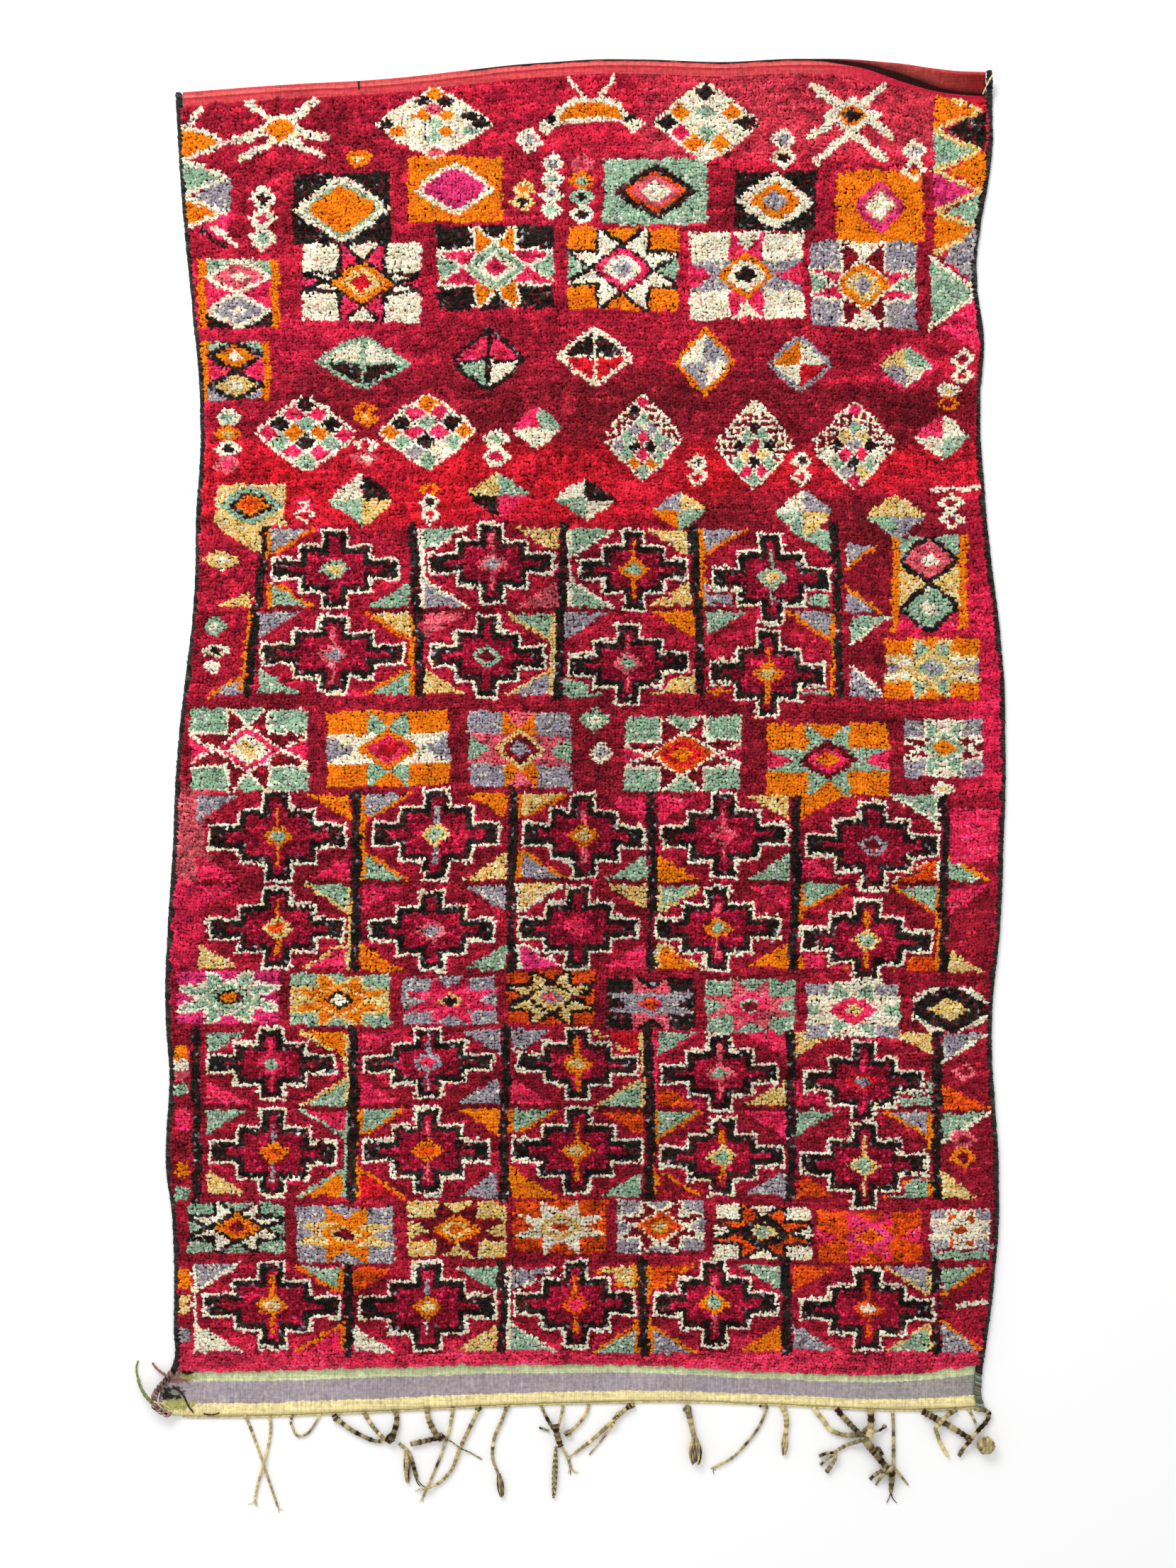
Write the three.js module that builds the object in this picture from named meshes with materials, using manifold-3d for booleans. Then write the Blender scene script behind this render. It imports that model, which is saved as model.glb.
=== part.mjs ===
// A Boujad rug, hand-knotted in wool and laid flat on the floor.
// Millimetres, +Z up, +Y towards the heading, the floor at z = 0.
// The origin is under the middle of the whole rug, fringe included.
import * as THREE from 'three';
import { mergeVertices } from 'three/addons/utils/BufferGeometryUtils.js';
import Module from 'manifold-3d';

// Heights above the floor
const PILE_HEIGHT = 14;
const PILE_SHOULDER = 11.5;
const FLAT_WEAVE_HEIGHT = 4;
const PILE_UNEVENNESS = 0.8;

// Widths
const SELVEDGE_WIDTH = 14;
const SELVEDGE_HEIGHT = 11;
const HEADING_WIDTH = 27;
const HEADING_WIDTH_AT_CURL = 46;
const PIECE_GAP = 0.3;

// The fold line that runs down the middle of the field
const CREASE = { x: 60, width: 15, depth: 2.2, from: -830, to: 190 };

// The heading curls up towards the right-hand corner
const HEADING_CURL = { from: 430, to: 770, lift: 26 };

// The flat-woven corner at the lower left is cupped up
const CORNER_CUP = { y: -1150, length: 46, width: 44, lift: 26, steepness: 1.5 };

// Knotted warp ends
const FRINGE_START = -700;
const STRIP_WIDTH = 5;
const STRIP_HEIGHT = 4;
const ROOT_DEPTH = 3.8;
const STRAND_HEIGHT = 5;
const STRAND_STEPS = 12;
const STRAND_TIP = 0.55;
const DRIFT_EASE = 1.4;
const KNOT_SPREAD = 0.09;
const KNOT_FLATNESS = 0.8;

// Spacing of the rows and columns of the woven body
const ROW_COUNT_IN_FIELD = 21;
const COLUMN_COUNT_BESIDE_CREASE = 7;
const EDGE_STEPS_LEFT = [0, 8, 20, 34, 50, 70, 95];
const EDGE_STEPS_RIGHT = [70, 44, 22, 8, 0];
const HEADING_STEPS = [1, 0.7, 0.4, 0.12, 0];
const KILIM_STEPS = [0, 0.04, 0.2, 0.4, 0.6, 0.8, 1];
const SHOULDER_STEPS = [6, 22];

// The outer edges, as they lie
const LEFT_EDGE = [
  { y: -1178, x: -760 },
  { y: -1151, x: -786 },
  { y: -1110, x: -764 },
  { y: -1083, x: -748 },
  { y: -1023, x: -747 },
  { y: -811, x: -750 },
  { y: -704, x: -762 },
  { y: -545, x: -755 },
  { y: -438, x: -762 },
  { y: -279, x: -759 },
  { y: -119, x: -749 },
  { y: 41, x: -742 },
  { y: 200, x: -726 },
  { y: 360, x: -709 },
  { y: 519, x: -705 },
  { y: 679, x: -697 },
  { y: 892, x: -712 },
  { y: 1105, x: -732 },
  { y: 1306, x: -744 },
];
const RIGHT_EDGE = [
  { y: -1164, x: 778 },
  { y: -1130, x: 773 },
  { y: -1050, x: 782 },
  { y: -917, x: 798 },
  { y: -757, x: 806 },
  { y: -598, x: 799 },
  { y: -438, x: 793 },
  { y: -279, x: 807 },
  { y: -119, x: 814 },
  { y: 94, x: 818 },
  { y: 280, x: 809 },
  { y: 413, x: 793 },
  { y: 573, x: 778 },
  { y: 732, x: 771 },
  { y: 839, x: 778 },
  { y: 945, x: 765 },
  { y: 1051, x: 771 },
  { y: 1158, x: 789 },
  { y: 1264, x: 794 },
  { y: 1339, x: 790 },
];
const TOP_EDGE = [
  { x: -744, y: 1306 },
  { x: -512, y: 1323 },
  { x: -352, y: 1332 },
  { x: -193, y: 1349 },
  { x: -33, y: 1364 },
  { x: 126, y: 1369 },
  { x: 286, y: 1364 },
  { x: 446, y: 1370 },
  { x: 605, y: 1358 },
  { x: 685, y: 1344 },
  { x: 765, y: 1337 },
  { x: 790, y: 1339 },
];
const BOTTOM_EDGE = [
  { x: -760, y: -1178 },
  { x: -689, y: -1183 },
  { x: -434, y: -1176 },
  { x: 60, y: -1156 },
  { x: 360, y: -1159 },
  { x: 616, y: -1170 },
  { x: 778, y: -1164 },
];

// Depth of the flat-woven end between the bottom edge and the pile
const KILIM_DEPTH = [
  { x: -760, depth: 92 },
  { x: -434, depth: 89 },
  { x: 60, depth: 77 },
  { x: 435, depth: 66 },
  { x: 778, depth: 86 },
];

// Warp ends: root along the bottom edge, how far the tip drifts sideways, how far it bows out on
// the way, how far it reaches from the edge, its width, and the place and width of its knot
const STRANDS = [
  { root: -613, drift: 17, bow: 20, reach: 153, width: 6 },
  { root: -569, drift: 22, bow: -12, reach: 188, width: 6 },
  { root: -444, drift: 86, bow: 2, reach: 46, width: 9 },
  { root: -388, drift: 42, bow: 4, reach: 46, width: 7 },
  { root: -328, drift: 34, bow: -16, reach: 125, width: 7, knotAt: 0.34, knotWidth: 12 },
  { root: -271, drift: 24, bow: 6, reach: 44, width: 10 },
  { root: -221, drift: -54, bow: 8, reach: 162, width: 7 },
  { root: -178, drift: -80, bow: 4, reach: 154, width: 6 },
  { root: -121, drift: -10, bow: -20, reach: 170, width: 7, knotAt: 0.76, knotWidth: 11 },
  { root: -49, drift: 14, bow: 10, reach: 172, width: 7, knotAt: 0.26, knotWidth: 14 },
  { root: -13, drift: 16, bow: -10, reach: 110, width: 7 },
  { root: 32, drift: -26, bow: 4, reach: 62, width: 6 },
  { root: 104, drift: -90, bow: 2, reach: 98, width: 6 },
  { root: 126, drift: -86, bow: 10, reach: 98, width: 5 },
  { root: 219, drift: 13, bow: 2, reach: 110, width: 8, knotAt: 0.66, knotWidth: 12 },
  { root: 360, drift: -86, bow: 26, reach: 121, width: 6 },
  { root: 402, drift: 0, bow: 8, reach: 88, width: 8, knotAt: 0.42, knotWidth: 12 },
  { root: 456, drift: 16, bow: 10, reach: 105, width: 6 },
  { root: 500, drift: 36, bow: 4, reach: 52, width: 6 },
  { root: 564, drift: 36, bow: -24, reach: 152, width: 8, knotAt: 0.78, knotWidth: 18 },
  { root: 605, drift: 20, bow: 0, reach: 96, width: 6 },
  { root: 664, drift: 38, bow: 6, reach: 98, width: 7 },
  { root: 714, drift: 10, bow: -6, reach: 58, width: 6 },
  { root: 742, drift: -20, bow: 10, reach: 94, width: 6 },
  { root: 760, drift: 20, bow: 4, reach: 82, width: 6, knotAt: 0.86, knotWidth: 22 },
];

// A warp end that is caught back into the edge as a loop
const EDGE_LOOP = { from: -527, to: -471, reach: 46, width: 5 };

// Loose ends of the binding yarn at the lower left corner
const BINDING_ENDS = [
  { y: -1106, reach: 28, drift: 18, bow: 0, width: 4 },
  { y: -1134, reach: 40, drift: 54, bow: -10, width: 4 },
];

const MATERIALS = {
  pile: new THREE.MeshStandardMaterial({ color: 0xb81f3c, roughness: 0.95, metalness: 0 }),
  binding: new THREE.MeshStandardMaterial({ color: 0x2c2726, roughness: 0.95, metalness: 0 }),
  warp: new THREE.MeshStandardMaterial({ color: 0xcdbb8f, roughness: 0.9, metalness: 0 }),
};

// Sections, as fractions of a strip's width and height: along the top, then back underneath
const SQUARE_SECTION = [
  { across: -0.5, up: 1 },
  { across: 0.5, up: 1 },
  { across: 0.5, up: 0 },
  { across: -0.5, up: 0 },
];
const ROUNDED_SECTION = [
  { across: -0.5, up: 0.45 },
  { across: -0.28, up: 1 },
  { across: 0.28, up: 1 },
  { across: 0.5, up: 0.45 },
  { across: 0.36, up: 0 },
  { across: -0.36, up: 0 },
];

const UP = new THREE.Vector3(0, 0, 1);

/** Value of a table's column at a place, on a smooth curve through its rows. */
function alongTable(rows, by, column, place) {
  const found = rows.findIndex((row) => row[by] >= place);
  const next = found < 0 ? rows.length - 1 : Math.max(found, 1);
  const slopeAt = (index) => {
    const before = rows[Math.max(index - 1, 0)];
    const after = rows[Math.min(index + 1, rows.length - 1)];
    return (after[column] - before[column]) / (after[by] - before[by]);
  };
  const start = rows[next - 1];
  const end = rows[next];
  const span = end[by] - start[by];
  const t = THREE.MathUtils.clamp((place - start[by]) / span, 0, 1);
  const fromStart = start[column] + slopeAt(next - 1) * span * t;
  const fromEnd = end[column] - slopeAt(next) * span * (1 - t);
  return THREE.MathUtils.lerp(fromStart, fromEnd, t * t * (3 - 2 * t));
}

const leftEdge = (y) => alongTable(LEFT_EDGE, 'y', 'x', y);
const rightEdge = (y) => alongTable(RIGHT_EDGE, 'y', 'x', y);
const topEdge = (x) => alongTable(TOP_EDGE, 'x', 'y', x);
const bottomEdge = (x) => alongTable(BOTTOM_EDGE, 'x', 'y', x);
const kilimDepth = (x) => alongTable(KILIM_DEPTH, 'x', 'depth', x);

/** How far the heading reaches in from the top edge; it is wider where it curls. */
function headingDepth(x) {
  const curled = THREE.MathUtils.smoothstep(x, HEADING_CURL.from, HEADING_CURL.to);
  return THREE.MathUtils.lerp(HEADING_WIDTH, HEADING_WIDTH_AT_CURL, curled);
}

/** How far the cloth stands off the floor at the curled heading and the cupped corner. */
function lift(x, y) {
  const curled = THREE.MathUtils.smoothstep(x, HEADING_CURL.from, HEADING_CURL.to);
  const intoHeading = 1 - (topEdge(x) - y) / headingDepth(x);
  const heading = HEADING_CURL.lift * curled * Math.max(intoHeading, 0);
  const alongCup = 1 - ((y - CORNER_CUP.y) / CORNER_CUP.length) ** 2;
  const intoCup = 1 - (x - leftEdge(y)) / CORNER_CUP.width;
  const cup = CORNER_CUP.lift * Math.max(alongCup, 0) * Math.max(intoCup, 0) ** CORNER_CUP.steepness;
  return heading + cup;
}

/** Height of the pile's tips, a little uneven, with the trough of the crease. */
function pileHeight(x, y) {
  const wave = Math.sin(x / 140 + y / 230) + Math.sin(x / 210 - y / 120 + 1);
  const acrossCrease = Math.max(1 - Math.abs(x - CREASE.x) / CREASE.width, 0);
  const alongCrease = y > CREASE.from && y < CREASE.to ? 1 : 0;
  return PILE_HEIGHT + PILE_UNEVENNESS * wave - CREASE.depth * acrossCrease * alongCrease;
}

/** Closed solid through rings of equal count, each along its top and back underneath. */
function loft(rings) {
  const count = rings[0].length;
  const last = (rings.length - 1) * count;
  const faces = [];
  for (let ring = 0; ring < last; ring += count) {
    for (let i = 0; i < count; i += 1) {
      const a = ring + i;
      const b = ring + ((i + 1) % count);
      faces.push(a, b, b + count, a, b + count, a + count);
    }
  }
  for (let i = 0; i < count / 2 - 1; i += 1) {
    const under = count - 1 - i;
    faces.push(i, under, under - 1, i, under - 1, i + 1);
    faces.push(last + i, last + under - 1, last + under, last + i, last + i + 1, last + under - 1);
  }
  const geometry = new THREE.BufferGeometry();
  const positions = rings.flat().flatMap((point) => point.toArray());
  geometry.setAttribute('position', new THREE.Float32BufferAttribute(positions, 3));
  geometry.setIndex(faces);
  return geometry;
}

/** Solid strip along a curve, with the given section, width, height and lift at each step. */
function strip(curve, steps, section, sizeAt) {
  const rings = [];
  for (let step = 0; step <= steps; step += 1) {
    const t = step / steps;
    const centre = curve.getPoint(t);
    const right = curve.getTangent(t).cross(UP).normalize();
    const { width, height, base } = sizeAt(t, centre);
    rings.push(section.map(({ across, up }) => {
      const point = centre.clone().addScaledVector(right, across * width);
      point.z = base + up * height;
      return point;
    }));
  }
  return loft(rings);
}

const wasm = await Module();
wasm.setup();

/** One solid from several that overlap. */
function fuse(geometries) {
  const solids = geometries.map((geometry) => {
    const merged = mergeVertices(geometry);
    return new wasm.Manifold(new wasm.Mesh({
      numProp: 3,
      vertProperties: new Float32Array(merged.attributes.position.array),
      triVerts: new Uint32Array(merged.index.array),
    }));
  });
  const joined = solids.reduce((whole, solid) => whole.add(solid)).getMesh();
  const geometry = new THREE.BufferGeometry();
  geometry.setAttribute('position', new THREE.Float32BufferAttribute(joined.vertProperties, 3));
  geometry.setIndex(new THREE.Uint32BufferAttribute(joined.triVerts, 1));
  return geometry;
}

/** A named mesh with its normals worked out. */
function piece(name, geometry, material) {
  geometry.computeVertexNormals();
  const mesh = new THREE.Mesh(geometry, material);
  mesh.name = name;
  return mesh;
}

/** Evenly spaced fractions between 0 and 1, both left out. */
function innerSteps(count) {
  return Array.from({ length: count }, (unused, index) => (index + 1) / (count + 1));
}

/** Places of the columns across the body at one height up the rug. */
function columnsAt(y) {
  const left = leftEdge(y) + SELVEDGE_WIDTH + PIECE_GAP;
  const right = rightEdge(y) - SELVEDGE_WIDTH - PIECE_GAP;
  const leftColumns = EDGE_STEPS_LEFT.map((step) => left + step);
  const rightColumns = EDGE_STEPS_RIGHT.map((step) => right - step);
  const crease = [CREASE.x - CREASE.width, CREASE.x, CREASE.x + CREASE.width];
  const between = (start, end) => innerSteps(COLUMN_COUNT_BESIDE_CREASE)
    .map((t) => THREE.MathUtils.lerp(start, end, t));
  return [
    ...leftColumns,
    ...between(leftColumns.at(-1), crease[0]),
    ...crease,
    ...between(crease[2], rightColumns[0]),
    ...rightColumns,
  ];
}

/** Rows up one column: place along the rug and the height of the cloth there. */
function rowsAt(x) {
  const bottom = bottomEdge(x);
  const top = topEdge(x);
  const kilim = kilimDepth(x);
  const heading = headingDepth(x);
  const flat = (y) => ({ y, height: FLAT_WEAVE_HEIGHT });
  const shoulder = (y) => ({ y, height: PILE_SHOULDER });
  const field = (y) => ({ y, height: pileHeight(x, y) });
  const [nearEdge, inField] = SHOULDER_STEPS;
  const fieldStart = bottom + kilim + inField;
  const fieldEnd = top - heading - inField;
  return [
    ...KILIM_STEPS.map((step) => flat(bottom + kilim * step)),
    shoulder(bottom + kilim + nearEdge),
    field(fieldStart),
    ...innerSteps(ROW_COUNT_IN_FIELD).map((t) => field(THREE.MathUtils.lerp(fieldStart, fieldEnd, t))),
    field(fieldEnd),
    shoulder(top - heading - nearEdge),
    ...HEADING_STEPS.map((step) => flat(top - heading * step)),
  ];
}

const COLUMN_COUNT = columnsAt(0).length;
const ROW_COUNT = rowsAt(0).length;

/** A point of the woven body: its place, the cloth's height there and its lift off the floor. */
function bodyPoint(row, column) {
  const roughY = rowsAt(columnsAt(0)[column])[row].y;
  const { y, height } = rowsAt(columnsAt(roughY)[column])[row];
  const x = columnsAt(y)[column];
  return { x, y, height, base: lift(x, y) };
}

/** Knotted field, flat-woven end and heading, woven in one piece on the same warps. */
function wovenBody() {
  const rings = [];
  for (let row = 0; row < ROW_COUNT; row += 1) {
    const surface = [];
    const underside = [];
    for (let column = 0; column < COLUMN_COUNT; column += 1) {
      const { x, y, height, base } = bodyPoint(row, column);
      const atSide = column === 0 || column === COLUMN_COUNT - 1;
      const thickness = atSide ? Math.min(height, SELVEDGE_HEIGHT) : height;
      surface.push(new THREE.Vector3(x, y, base + thickness));
      underside.unshift(new THREE.Vector3(x, y, base));
    }
    rings.push([...surface, ...underside]);
  }
  return piece('woven_body', loft(rings), MATERIALS.pile);
}

/** Overcast binding along one side of the body, up over the curled corners. */
function selvedge(column, edge) {
  const rings = [];
  for (let row = 0; row < ROW_COUNT; row += 1) {
    const { y } = bodyPoint(row, column);
    const middle = edge(y) + (column === 0 ? SELVEDGE_WIDTH : -SELVEDGE_WIDTH) / 2;
    const base = lift(middle, y);
    rings.push(ROUNDED_SECTION.map(({ across, up }) => (
      new THREE.Vector3(middle + across * SELVEDGE_WIDTH, y, base + up * SELVEDGE_HEIGHT)
    )));
  }
  return loft(rings);
}

/** Smooth level curve from a function of a fraction. */
function levelCurve(pointAt, count) {
  const points = Array.from({ length: count + 1 }, (unused, index) => pointAt(index / count));
  return new THREE.CatmullRomCurve3(points.map(({ x, y }) => new THREE.Vector3(x, y, 0)));
}

/** A strand from a root, drifting sideways and bowing on the way, down to rest on the floor. */
function strand(root, outward, sideways, { drift, bow, reach, width, knotAt = 0, knotWidth = width }) {
  const rootLift = lift(root.x, root.y);
  const curve = levelCurve((t) => {
    const side = drift * t ** DRIFT_EASE + bow * Math.sin(Math.PI * t) ** 2;
    return {
      x: root.x + outward.x * reach * t + sideways.x * side,
      y: root.y + outward.y * reach * t + sideways.y * side,
    };
  }, STRAND_STEPS);
  return strip(curve, STRAND_STEPS, SQUARE_SECTION, (t) => {
    const taper = t < 1 ? 1 : STRAND_TIP;
    const knot = (knotWidth - width) * Math.exp(-(((t - knotAt) / KNOT_SPREAD) ** 2));
    return {
      width: (width + knot) * taper,
      height: (STRAND_HEIGHT + knot * KNOT_FLATNESS) * taper,
      base: rootLift * (1 - t) ** 2,
    };
  });
}

/** The left binding with its two loose ends. */
function leftSelvedge() {
  const outward = { x: -1, y: 0 };
  const sideways = { x: 0, y: 1 };
  const looseEnds = BINDING_ENDS.map((end) => {
    const root = { x: leftEdge(end.y) + SELVEDGE_WIDTH / 2, y: end.y };
    return strand(root, outward, sideways, end);
  });
  return piece('selvedge_left', fuse([selvedge(0, leftEdge), ...looseEnds]), MATERIALS.binding);
}

/** The narrow strip beyond the last pick, along the bottom edge from the cupped corner on. */
function fringeBacking() {
  const rings = [];
  for (let column = 0; column < COLUMN_COUNT; column += 1) {
    const { x, y } = bodyPoint(0, column);
    if (x > FRINGE_START) {
      rings.push(SQUARE_SECTION.map(({ across, up }) => (
        new THREE.Vector3(x, y - PIECE_GAP - (across + 0.5) * STRIP_WIDTH, up * STRIP_HEIGHT)
      )));
    }
  }
  return loft(rings);
}

/** The strip at the end of the weave and the warp ends knotted off from it. */
function warpFringe() {
  const rootLine = (x) => bottomEdge(x) - ROOT_DEPTH;
  const outward = { x: 0, y: -1 };
  const sideways = { x: 1, y: 0 };
  const strands = STRANDS.map((row) => {
    const root = { x: row.root, y: rootLine(row.root) };
    return strand(root, outward, sideways, { ...row, reach: row.reach - ROOT_DEPTH });
  });
  const loopCurve = levelCurve((t) => {
    const x = THREE.MathUtils.lerp(EDGE_LOOP.from, EDGE_LOOP.to, t);
    return { x, y: rootLine(x) - EDGE_LOOP.reach * Math.sin(Math.PI * t) };
  }, STRAND_STEPS);
  const loop = strip(loopCurve, STRAND_STEPS, SQUARE_SECTION, () => ({
    width: EDGE_LOOP.width,
    height: STRAND_HEIGHT,
    base: 0,
  }));
  return piece('warp_fringe', fuse([fringeBacking(), loop, ...strands]), MATERIALS.warp);
}

const rug = new THREE.Group();
rug.name = 'boujad_rug';
rug.add(
  wovenBody(),
  leftSelvedge(),
  piece('selvedge_right', selvedge(COLUMN_COUNT - 1, rightEdge), MATERIALS.binding),
  warpFringe(),
);

export default rug;
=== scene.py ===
"""A Boujad rug, hand-knotted in wool, dressed over its solids as it lies on the floor."""

import math
from collections import namedtuple

import bpy
import numpy as np
from bpy.props import FloatProperty, FloatVectorProperty, IntProperty, PointerProperty
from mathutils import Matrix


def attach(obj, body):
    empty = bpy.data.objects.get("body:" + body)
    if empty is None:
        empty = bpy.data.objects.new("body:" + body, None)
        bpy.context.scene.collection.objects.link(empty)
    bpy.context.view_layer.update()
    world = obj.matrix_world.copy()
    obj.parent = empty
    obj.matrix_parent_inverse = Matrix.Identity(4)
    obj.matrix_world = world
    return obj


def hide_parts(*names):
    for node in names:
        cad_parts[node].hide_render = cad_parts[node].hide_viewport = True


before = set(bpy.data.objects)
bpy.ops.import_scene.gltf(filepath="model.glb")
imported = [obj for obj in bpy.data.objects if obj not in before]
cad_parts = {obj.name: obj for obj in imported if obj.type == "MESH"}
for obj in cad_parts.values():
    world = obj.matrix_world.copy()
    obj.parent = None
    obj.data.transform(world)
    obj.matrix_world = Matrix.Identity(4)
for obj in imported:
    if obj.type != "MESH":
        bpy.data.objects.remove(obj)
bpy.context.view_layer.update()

bl_info = {
    "name": "Boujad rug",
    "version": (1, 0, 0),
    "blender": (4, 5, 0),
    "location": "3D View > Sidebar > Rug",
    "description": "Weaves, knots, binds and fringes a Boujad rug",
    "category": "Object",
}

BODY = "root"


def table(kind, *rows):
    """Rows of values as records of one kind."""
    return [kind(*row) for row in rows]


# The outer edges as they lie, as (place, value) rows in metres
LEFT_EDGE = [
    (-1.178, -0.76), (-1.151, -0.786), (-1.11, -0.764), (-1.083, -0.748), (-1.023, -0.747),
    (-0.811, -0.75), (-0.704, -0.762), (-0.545, -0.755), (-0.438, -0.762), (-0.279, -0.759),
    (-0.119, -0.749), (0.041, -0.742), (0.2, -0.726), (0.36, -0.709), (0.519, -0.705), (0.679, -0.697),
    (0.892, -0.712), (1.105, -0.732), (1.306, -0.744),
]
RIGHT_EDGE = [
    (-1.164, 0.778), (-1.13, 0.773), (-1.05, 0.782), (-0.917, 0.798), (-0.757, 0.806), (-0.598, 0.799),
    (-0.438, 0.793), (-0.279, 0.807), (-0.119, 0.814), (0.094, 0.818), (0.28, 0.809), (0.413, 0.793),
    (0.573, 0.778), (0.732, 0.771), (0.839, 0.778), (0.945, 0.765), (1.051, 0.771), (1.158, 0.789),
    (1.264, 0.794), (1.339, 0.79),
]
TOP_EDGE = [
    (-0.744, 1.306), (-0.512, 1.323), (-0.352, 1.332), (-0.193, 1.349), (-0.033, 1.364), (0.126, 1.369),
    (0.286, 1.364), (0.446, 1.37), (0.605, 1.358), (0.685, 1.344), (0.765, 1.337), (0.79, 1.339),
]
BOTTOM_EDGE = [
    (-0.76, -1.178), (-0.689, -1.183), (-0.434, -1.176), (0.06, -1.156), (0.36, -1.159), (0.616, -1.17),
    (0.778, -1.164),
]
KILIM_DEPTH = [
    (-0.76, 0.092), (-0.434, 0.089), (0.06, 0.077), (0.435, 0.066), (0.778, 0.086),
]

# Forms that the cloth lies in, in metres
BINDING_WIDTH = 0.014
PIECE_GAP = 0.0003
HEADING_WIDTH = 0.027
HEADING_WIDTH_AT_CURL = 0.046
PILE_UNEVENNESS = 0.0008
CREASE = {"x": 0.060, "width": 0.015, "depth": 0.0022, "low": -0.830, "high": 0.190}
CURL = {"low": 0.430, "high": 0.770, "lift": 0.026}
CUP = {"y": -1.150, "length": 0.046, "width": 0.044, "lift": 0.026, "steepness": 1.5}

# Dye letters of the chart; a full stop leaves the ground
DYES = {
    "c": "cream", "f": "flame", "g": "mint", "k": "black", "l": "lilac", "m": "maroon", "o": "orange",
    "p": "raspberry", "r": "madder", "s": "straw", "t": "rose", "v": "wine", "x": "magenta",
}
GROUND = "."
HATCH = "h"
PALE_DYES = "cglos"
DEPTH_OF_DYE = 0.85
PALE_DEPTH = 0.90
STRAY_STRENGTH = 0.55
DYE_SPREAD = 0.30
PALE_SPREAD = 0.11
BLACK_SPREAD = 0.42

# How uneven the dye is: weights and sizes of patches in rows and columns of tufts
UNEVENNESS = [(0.85, (2, 2)), (0.45, (2, 6)), (0.7, (1, 11)), (0.5, (5, 30))]

# Painted shade: the field is duller along its middle, as in the shadow of a shallow hollow; its place and
# reach in knots
HOLLOW_SHADE = {"column": 3, "width": 20, "depth": 0.22, "low": -145, "high": 115, "low_fade": 20, "high_fade": 30}

# Stray yarn in a dye: the dye that strays in and its share of the knots
Fleck = namedtuple("Fleck", "dye stray share")
FLECKS = table(
    Fleck,
    ("m", "r", 0.16), ("g", "l", 0.12), ("g", "c", 0.16), ("g", "k", 0.05), ("l", "c", 0.18),
    ("l", "k", 0.08), ("c", "s", 0.12), ("c", "t", 0.04), ("s", "c", 0.24), ("s", "o", 0.14),
    ("o", "f", 0.28), ("p", "r", 0.14), ("p", "t", 0.14), ("k", "m", 0.2), ("k", "l", 0.05),
    ("v", "m", 0.35), ("v", "p", 0.22), ("t", "p", 0.2),
)

# Bands where the ground's dye lot changes: place in knots, dye and strength
Lot = namedtuple("Lot", "left right top bottom dye strength")
LOTS = table(
    Lot,
    (-120, -30, 205, 150, "m", 0.4), (-20, 20, 180, 150, "m", 0.45), (20, 125, 205, 178, "t", 0.22),
    (38, 48, 180, 130, "m", 0.7), (64, 76, 178, 130, "m", 0.6), (97, 104, 175, 128, "m", 0.6),
    (-120, -40, 135, 112, "p", 0.22), (-60, 125, 133, 121, "m", 0.45), (-100, 60, 120, 96, "m", 0.7),
    (-30, 125, 114, 92, "m", 0.92), (-120, 45, 98, 74, "r", 0.85), (30, 125, 96, 84, "r", 0.85),
    (25, 112, 83, 68, "m", 0.92), (-120, 95, 74, 25, "m", 0.34), (76, 90, 68, 25, "m", 0.75),
    (-120, 110, 26, -2, "m", 0.75), (112, 125, 56, -3, "p", 0.55), (-120, 125, -2, -52, "m", 0.72),
    (-120, 125, -70, -116, "m", 0.7), (-120, 125, -136, -154, "m", 0.62),
    (-120, -102, 0, -26, "t", 0.8), (-120, -104, -26, -52, "p", 0.6), (105, 125, -27, -120, "m", 0.4),
    (-120, 120, -51, -69, "m", 0.75), (-120, 120, -114, -135, "m", 0.75),
    (-120, 125, -157, -175, "p", 0.65), (-120, 125, -157, -175, "t", 0.15),
)

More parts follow.
